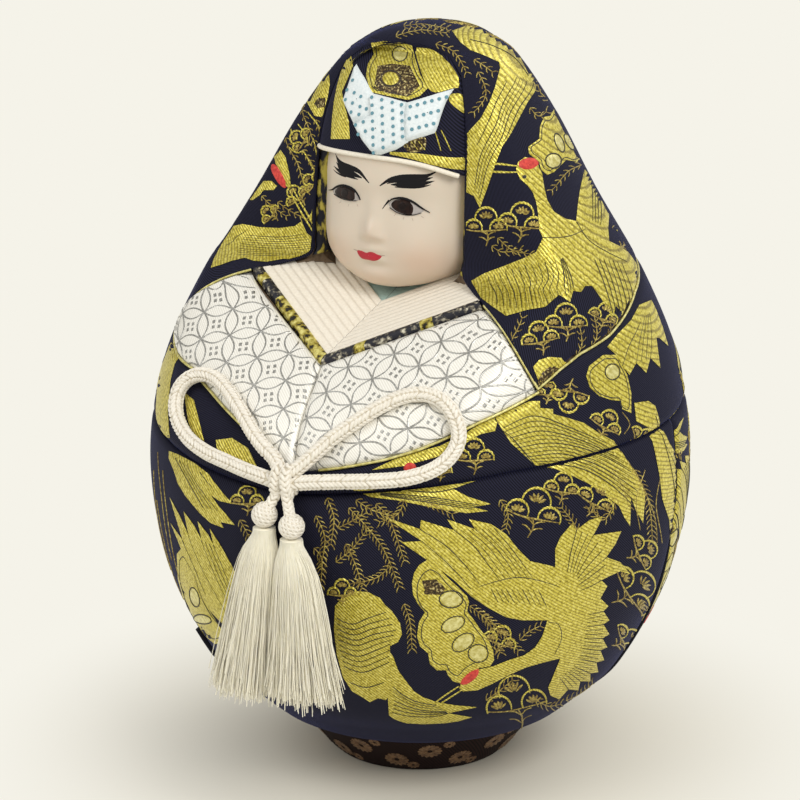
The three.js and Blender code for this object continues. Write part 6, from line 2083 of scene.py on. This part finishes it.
RIGHT_IRIS = [
    (334.6, 190.2), (337.5, 187.3), (344.4, 186.2), (351, 188), (355.4, 191.5), (356.4, 196), (355.4, 200.4),
    (348.6, 200.2), (340.2, 197.7), (335.6, 194.4),
]
RIGHT_LID = [
    (329.6, 190), (333, 189.4), (337, 186.6), (344.4, 185.4), (352.8, 188.4), (357.8, 193.8), (360.6, 200),
]
LEFT_RIM = [
    (388.3, 203), (392.9, 199.8), (401.8, 198.7), (411.6, 201.8), (419.5, 207), (424.5, 210.6),
    (421.4, 212.9), (414.4, 215), (405.2, 215), (396.2, 212.2), (389.8, 207.6),
]
LEFT_IRIS = [
    (390.2, 203.4), (394, 200), (401.8, 198.9), (409.5, 201), (413.4, 204.5), (414.6, 209.5), (412.6, 215),
    (405.2, 214.8), (397, 212), (391.6, 207.8),
]
LEFT_LID = [
    (386.6, 204.2), (389.4, 201), (393, 198.8), (401.8, 198), (411.6, 201.2), (421.4, 207.8), (430, 212.6),
]
EYES = (
    ("right", RIGHT_RIM, RIGHT_IRIS, RIGHT_LID, (345.5, 192.8)),
    ("left", LEFT_RIM, LEFT_IRIS, LEFT_LID, (402.5, 206.5)),
)
for side, rim, iris_rim, lid, pupil in EYES:
    w = Weave(side + "_eye_glass", front_face, "eye_glass", EYE_LOOKS)
    w.patch(rim, "white", EYE_LIFTS["white"])
    w.patch(iris_rim, "brown", EYE_LIFTS["brown"])
    w.oval(pupil, *PUPIL, "black", EYE_LIFTS["black"])
    w.band(lid, LID_WIDTHS, "gold", EYE_LIFTS["lid"])
    w.band(rim[:len(rim) // 2:-1], UNDER_WIDTHS, "gold", EYE_LIFTS["under"])
    made = w.make()
    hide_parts(side + "_eye")

# Head cloth: the brocade cap over the forehead, a rolled band at the hairline, and a folded dotted ornament.
# The cap is stretched over the head block under the hood; band and ornament are glued on. Points are pixels.
HEAD = np.array([0, -1.2, 207.7]) * MM
HEAD_HALF = np.array([32.6, 28, 44]) * MM
CAP = 0.9 * MM
CAP_LEVELS = (0.8 * HEIGHT, 0.9819 * HEIGHT)
CAP_ROWS = 70
CAP_COLUMNS = 91
CAP_LEAST_HALF = 0.5 * MM
CAP_ROUNDNESS = 2.3
CAP_FULLNESS = 0.62
HAIRLINE = 10.5 * MM
HAIRLINE_DROPS = (6.2, 1.2)
HAIRLINE_HALF = 30 * MM
CAP_LOW_HALF = 28 * MM
cap_levels = np.linspace(*CAP_LEVELS, PROFILE_ROWS)
cap_edge = skin(hood_front_angle(cap_levels), cap_levels, 0 * cap_levels - CAP)
cap_round = np.sqrt(np.maximum(1 - ((cap_levels - HEAD[2]) / HEAD_HALF[2]) ** 2, 0))
cap_middle = np.maximum(-HEAD[1] + HEAD_HALF[1] * cap_round + CAP, -cap_edge[:, 1])


def head_depth(x, z):
    half = np.maximum(np.interp(z, cap_levels, cap_edge[:, 0]), CAP_LEAST_HALF)
    side = -np.interp(z, cap_levels, cap_edge[:, 1])
    middle = np.interp(z, cap_levels, cap_middle)
    bulge = np.clip(1 - np.abs(x / half) ** CAP_ROUNDNESS, 0, 1) ** CAP_FULLNESS
    return side + (middle - side) * bulge


def hairline(x):
    """Height of the cap's lower edge; it drops more on the doll's left."""
    return HEAD[2] + HAIRLINE - np.where(x > 0, *HAIRLINE_DROPS) * MM * np.abs(x / HAIRLINE_HALF) ** 3


across = np.sin(np.linspace(-math.pi / 2, math.pi / 2, CAP_COLUMNS))[None, :]
rise = np.linspace(0, 1, CAP_ROWS)[:, None]
low = hairline(across * CAP_LOW_HALF)
cap_z = low + (cap_levels[-1] - low) * rise
cap_x = across * np.interp(cap_z, cap_levels, cap_edge[:, 0])
cap_points = np.stack([cap_x, -head_depth(cap_x, cap_z), cap_z], -1)
cap = add_mesh("forehead_cap", cap_points, grid_faces(*cap_z.shape), navy, np.stack([cap_x, cap_z], -1))
finish(cap, "body", "navy_brocade", "forehead_cap")
CAP_STRIP = [
    (346, 59), (351, 54), (353, 66), (348, 78), (342, 92), (345, 106), (349, 122), (350, 139), (331, 139),
    (332, 120), (334, 102), (337, 86), (341, 72),
]
CAP_CLOUD = [
    (371, 43), (384, 41), (400, 42), (412, 45), (415, 58), (420, 74), (428, 88), (420, 96), (408, 100),
    (384, 95), (371, 92), (366, 76), (368, 64), (374, 54),
]
CAP_CLOUD_OVALS = [(400, 54, 7.5, 7.8, 0), (391, 79, 10, 8, 0)]
CAP_SHADE = [(378, 66), (392, 64), (410, 66), (420, 86), (408, 97), (386, 93), (374, 88)]
CAP_EYE = (391, 79, 10, 8, 0)
CAP_PATCHES = [
    [(416, 47), (432, 49), (450, 63), (461, 79), (462, 88), (453, 89), (436, 93), (427, 87), (418, 64)],
    [(451, 94), (462, 94), (467, 105), (466, 114), (456, 108), (449, 101)],
]
CAP_LINES = [[(435, 131), (438, 141), (441, 151)], [(441, 130), (446, 140), (451, 151)]]
CAP_BAND = ([(390, 153), (412, 156), (432, 160), (450, 163), (466, 163)], [3, 6, 10, 12, 14])
CAP_CRUMB_SHADE = [(402, 140), (414, 136), (426, 138), (424, 150), (408, 152)]
CAP_CRUMBS = [[(404 + 2.4 * k, 141 + 3 * (k % 3)), (406 + 2.4 * k, 144 + 3 * (k % 3))] for k in range(9)]
front_head = FrontSurface(head_depth)
w = Weave("cap_figures", front_head)
w.shape(CAP_STRIP)
w.cloud(CAP_CLOUD, CAP_CLOUD_OVALS)
w.shape(CAP_SHADE, kind="bronze", lift=0.24 * MM)
w.oval(CAP_EYE[:2], *CAP_EYE[2:], kind="gold", lift=0.42 * MM, rim="dark")
for outline in CAP_PATCHES:
    w.patch(outline)
w.lines(CAP_LINES, width=1.6)
w.band(*CAP_BAND)
w.patch(CAP_CRUMB_SHADE, kind="bronze", lift=0.15 * MM)
w.lines(CAP_CRUMBS, width=1.5, lift=0.24 * MM)
cap_figures = w.make()

dotted = textured(
    "white_cotton", (0.76, 0.81, 0.81), 0.8, speckle(1300, 2),
    [(0.3, (0.68, 0.75, 0.76)), (0.7, (0.82, 0.86, 0.85))], 0.05 * MM,
)
dot_blue = textured("blue_dots", (0.12, 0.28, 0.34), 0.7, speckle(1300, 2), (), 0.04 * MM)
ROLL_HALF = 27.6
ROLL = 0.8 * MM
ROLL_OUT = 0.1 * MM
roll_x = np.linspace(-ROLL_HALF, ROLL_HALF, 70) * MM
roll_depth = np.maximum(face_depth(roll_x, hairline(roll_x)), head_depth(roll_x, hairline(roll_x)))
roll = np.stack([roll_x, -roll_depth - ROLL_OUT, hairline(roll_x)], 1)
band = sweep("headband_roll", [roll], ROLL, 14, cream)
finish(band, "body", "dotted_cloth", "headband")
RIGHT_WING = [
    (356.7, 63.7), (350, 82.5), (343.5, 101.4), (348, 112), (353.7, 124), (365, 121), (376, 118), (376, 104),
    (373.5, 93.3), (365, 78),
]
LEFT_WING = [
    (405, 103), (420, 98.6), (438, 93), (454.7, 88.2), (450, 95), (446.5, 101.4), (442, 113), (438.4, 125),
    (435.3, 133.1), (422, 137.5), (404, 144), (402, 124),
]
FOLD = [
    (372.5, 93), (390, 97.5), (407.8, 102.4), (408, 122), (409, 142.6), (396, 150), (381, 155), (376, 155),
    (370, 150.4), (364, 142.8), (358.5, 133.5), (353.7, 124), (364, 119), (374, 114),
]
ORNAMENTS = (
    ("ornament_right_wing", 1.5, RIGHT_WING),
    ("ornament_left_wing", 1.7, LEFT_WING),
    ("ornament_fold", 2.5, FOLD),
)
for name, lift, outline in ORNAMENTS:
    w = Weave(name, front_head, "dotted_cloth", {"gold": dotted})
    w.patch(outline, "gold", lift * MM, straight=True)
    made = w.make()
    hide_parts(name)
    size = np.ptp(np.vstack(w.points), axis=0)
    flat = (float(np.hypot(size[0], size[1])), float(np.hypot(size[1], size[2])))
DOT = 0.66 * MM
DOT_SIDES = 8
DOT_LIFT = 0.12 * MM
FOLD_DOT_COLUMNS = (375.6, 385.3, 395.5, 404.4)
FOLD_DOT_ROWS = 8
FOLD_DOT_TOP = 99.5
FOLD_DOT_STEP = 7.6
FOLD_DOT_SLANT = 0.25
FOLD_DOT_LEFT = 375
LEFT_DOT_STEP = (6.9, -1.9)
LEFT_DOT_COUNT = 6
DOT_MIDDLE = 0.07 * MM
DOT_EDGE = 0.02 * MM
LEFT_DOT_ROWS = ((412, 108), (411, 119.5), (413.5, 130))
RIGHT_DOTS = [
    (355.4, 82.2), (350, 91.6), (357, 94.3), (348.6, 101), (355.4, 104.3), (362.7, 107.8), (363.5, 98),
    (354, 113.2), (361.6, 115.4), (368.9, 110), (360, 126), (367.4, 123), (362.5, 135), (369.5, 132),
]
disc = [(0, 0, DOT_MIDDLE)]
for t in np.linspace(0, 2 * math.pi, DOT_SIDES + 1)[:-1]:
    disc.append((DOT * math.cos(t), DOT * math.sin(t), DOT_EDGE))
dot = stamp_from("dot", disc, [(0, k + 1, (k + 1) % DOT_SIDES + 1) for k in range(DOT_SIDES)])
dots = []
for x in FOLD_DOT_COLUMNS:
    for k in range(FOLD_DOT_ROWS):
        down = FOLD_DOT_TOP + FOLD_DOT_STEP * k + FOLD_DOT_SLANT * (x - FOLD_DOT_LEFT)
        dots.append((x + FOLD_DOT_SLANT * k, down))
for row, (x, y) in enumerate(LEFT_DOT_ROWS):
    dots += [(x + LEFT_DOT_STEP[0] * k, y + LEFT_DOT_STEP[1] * k) for k in range(LEFT_DOT_COUNT - row)]
spots, facing = [], []
for pixel in dots + RIGHT_DOTS:
    under = [height for _, height, outline in ORNAMENTS if inside(np.array([pixel]), np.array(outline))[0]]
    if under:
        base, place = front_head.lay(front_head.places([pixel]), np.array([max(under) * MM + DOT_LIFT]))
        spots.append(place[0])
        facing.append(front_head.normals(base)[0])
printed = scatter("ornament_dots", spots, facing, [(0, 0, 1)] * len(spots), dot, dot_blue)
finish(printed, "body", "dotted_cloth")

# Hood's turned edge: the cloth goes on round the edge of the opening and is tucked in beside the face.
# It is a folded strip on each side, of the same brocade, seen from its duller back.
EDGE_LEVELS = (0.697, 0.984)
EDGE_SINK_IN = 1.3 * MM
EDGE_DEPTH = 10 * MM
EDGE_ROWS = 90
EDGE_NARROWS = 0.96
NARROW_LEVELS = (0.697, 0.74, 0.8)
SET_BACK_LEVELS = (0.70, 0.74, 0.8)
EDGE_SIDES = (("right", -1, (0.9, 0.85, 0.84), (0.5, 1, 1)), ("left", 1, (0.97, 0.94, 0.9), (0.5, 2, 6)))
edge_brocade = textured(
    "edge_brocade", (0.01, 0.01, 0.015), 0.5, speckle(330, 4, (1, 1, 0.6)),
    [(0.49, (0.006, 0.006, 0.012)), (0.53, (0.2, 0.16, 0.025)), (0.6, (0.45, 0.37, 0.06))], 0.2 * MM,
    Specular_IOR_Level=0.25,
)
edge_z = np.linspace(EDGE_LEVELS[0] * HEIGHT, EDGE_LEVELS[1] * HEIGHT, EDGE_ROWS)
for name, side, narrows, backs in EDGE_SIDES:
    rim = skin(side * hood_front_angle(edge_z), edge_z, 0 * edge_z - EDGE_SINK_IN)
    narrow = np.interp(edge_z / HEIGHT, NARROW_LEVELS, narrows)
    set_back = np.interp(edge_z / HEIGHT, SET_BACK_LEVELS, backs) * MM
    inner = np.stack([rim[:, 0] * narrow, np.minimum(rim[:, 1], -front(edge_z)) + set_back, edge_z], 1)
    deep = inner * (EDGE_NARROWS, 1, 1) + np.array([0, EDGE_DEPTH, 0])
    rows = np.stack([rim, inner, deep])
    faces = grid_faces(3, len(edge_z))[:, ::-side]
    made = add_mesh("hood_turn_" + name, rows, faces, edge_brocade, rows[..., 1:])
    finish(made, "body", "navy_brocade")

# Piping: a thin cord of pale gold thread in the seams round the hood and over the sleeves.
# Dark rolled welts close the lower ends of the side seams.
PIPING = 0.45 * MM
EDGE_PIPING_SINK = 0.5 * MM
BACK_PIPING_SINK = 0.75 * MM
PIPING_START = 0.1
SELVAGE = [(191, 628), (198, 640), (209, 650), (222, 659)]
SELVAGE_ROLL = 1.5 * MM
SELVAGE_LIFT = 0.2 * MM
WELT = 1.3 * MM
WELT_ENDS = (HEM + 0.6 * MM, 0.34 * HEIGHT)
WELT_ROWS = 50
WELT_FADE = 1.2 * MM
WELT_SINK = 0.6 * MM
selvage_place = snap(meet(SELVAGE, outside_skin))
selvage_line = skin(*selvage_place, 0 * selvage_place[1] + SELVAGE_LIFT)
finish(sweep("selvage_corner", [selvage_line], SELVAGE_ROLL, 12, navy), "body", "navy_brocade")
for side, name, chest_seam in ((1, "left", left_chest_seam), (-1, "right", right_chest_seam)):
    fall = np.linspace(SHOULDER, LOBE[1][1] * HEIGHT, 40)
    down_edge = skin(side * hood_front_angle(fall), fall, 0 * fall - EDGE_PIPING_SINK)
    turn = np.linspace(CHEST_END, math.pi, 90)
    round_back = skin(side * turn, hood_back(turn), 0 * turn - BACK_PIPING_SINK)
    turn = np.linspace(side * KNOT_ANGLE + PIPING_START, CHEST_END, 60)
    chest_edge = skin(side * turn, chest_seam(side * turn), 0 * turn - EDGE_PIPING_SINK)
    piping = sweep(name + "_piping", [np.vstack([down_edge, round_back[1:]]), chest_edge], PIPING, 8, pale)
    finish(piping, "body", "navy_brocade")
    welt_z = np.linspace(*WELT_ENDS, WELT_ROWS)
    swelling = np.sin(np.linspace(0.1, math.pi, WELT_ROWS)) ** 0.5
    welt = skin(side * SIDE_SEAM + 0 * welt_z, welt_z, (swelling - 1) * WELT_FADE - WELT_SINK)
    finish(sweep(name + "_welt", [welt], WELT, 12, navy), "body", "navy_brocade")
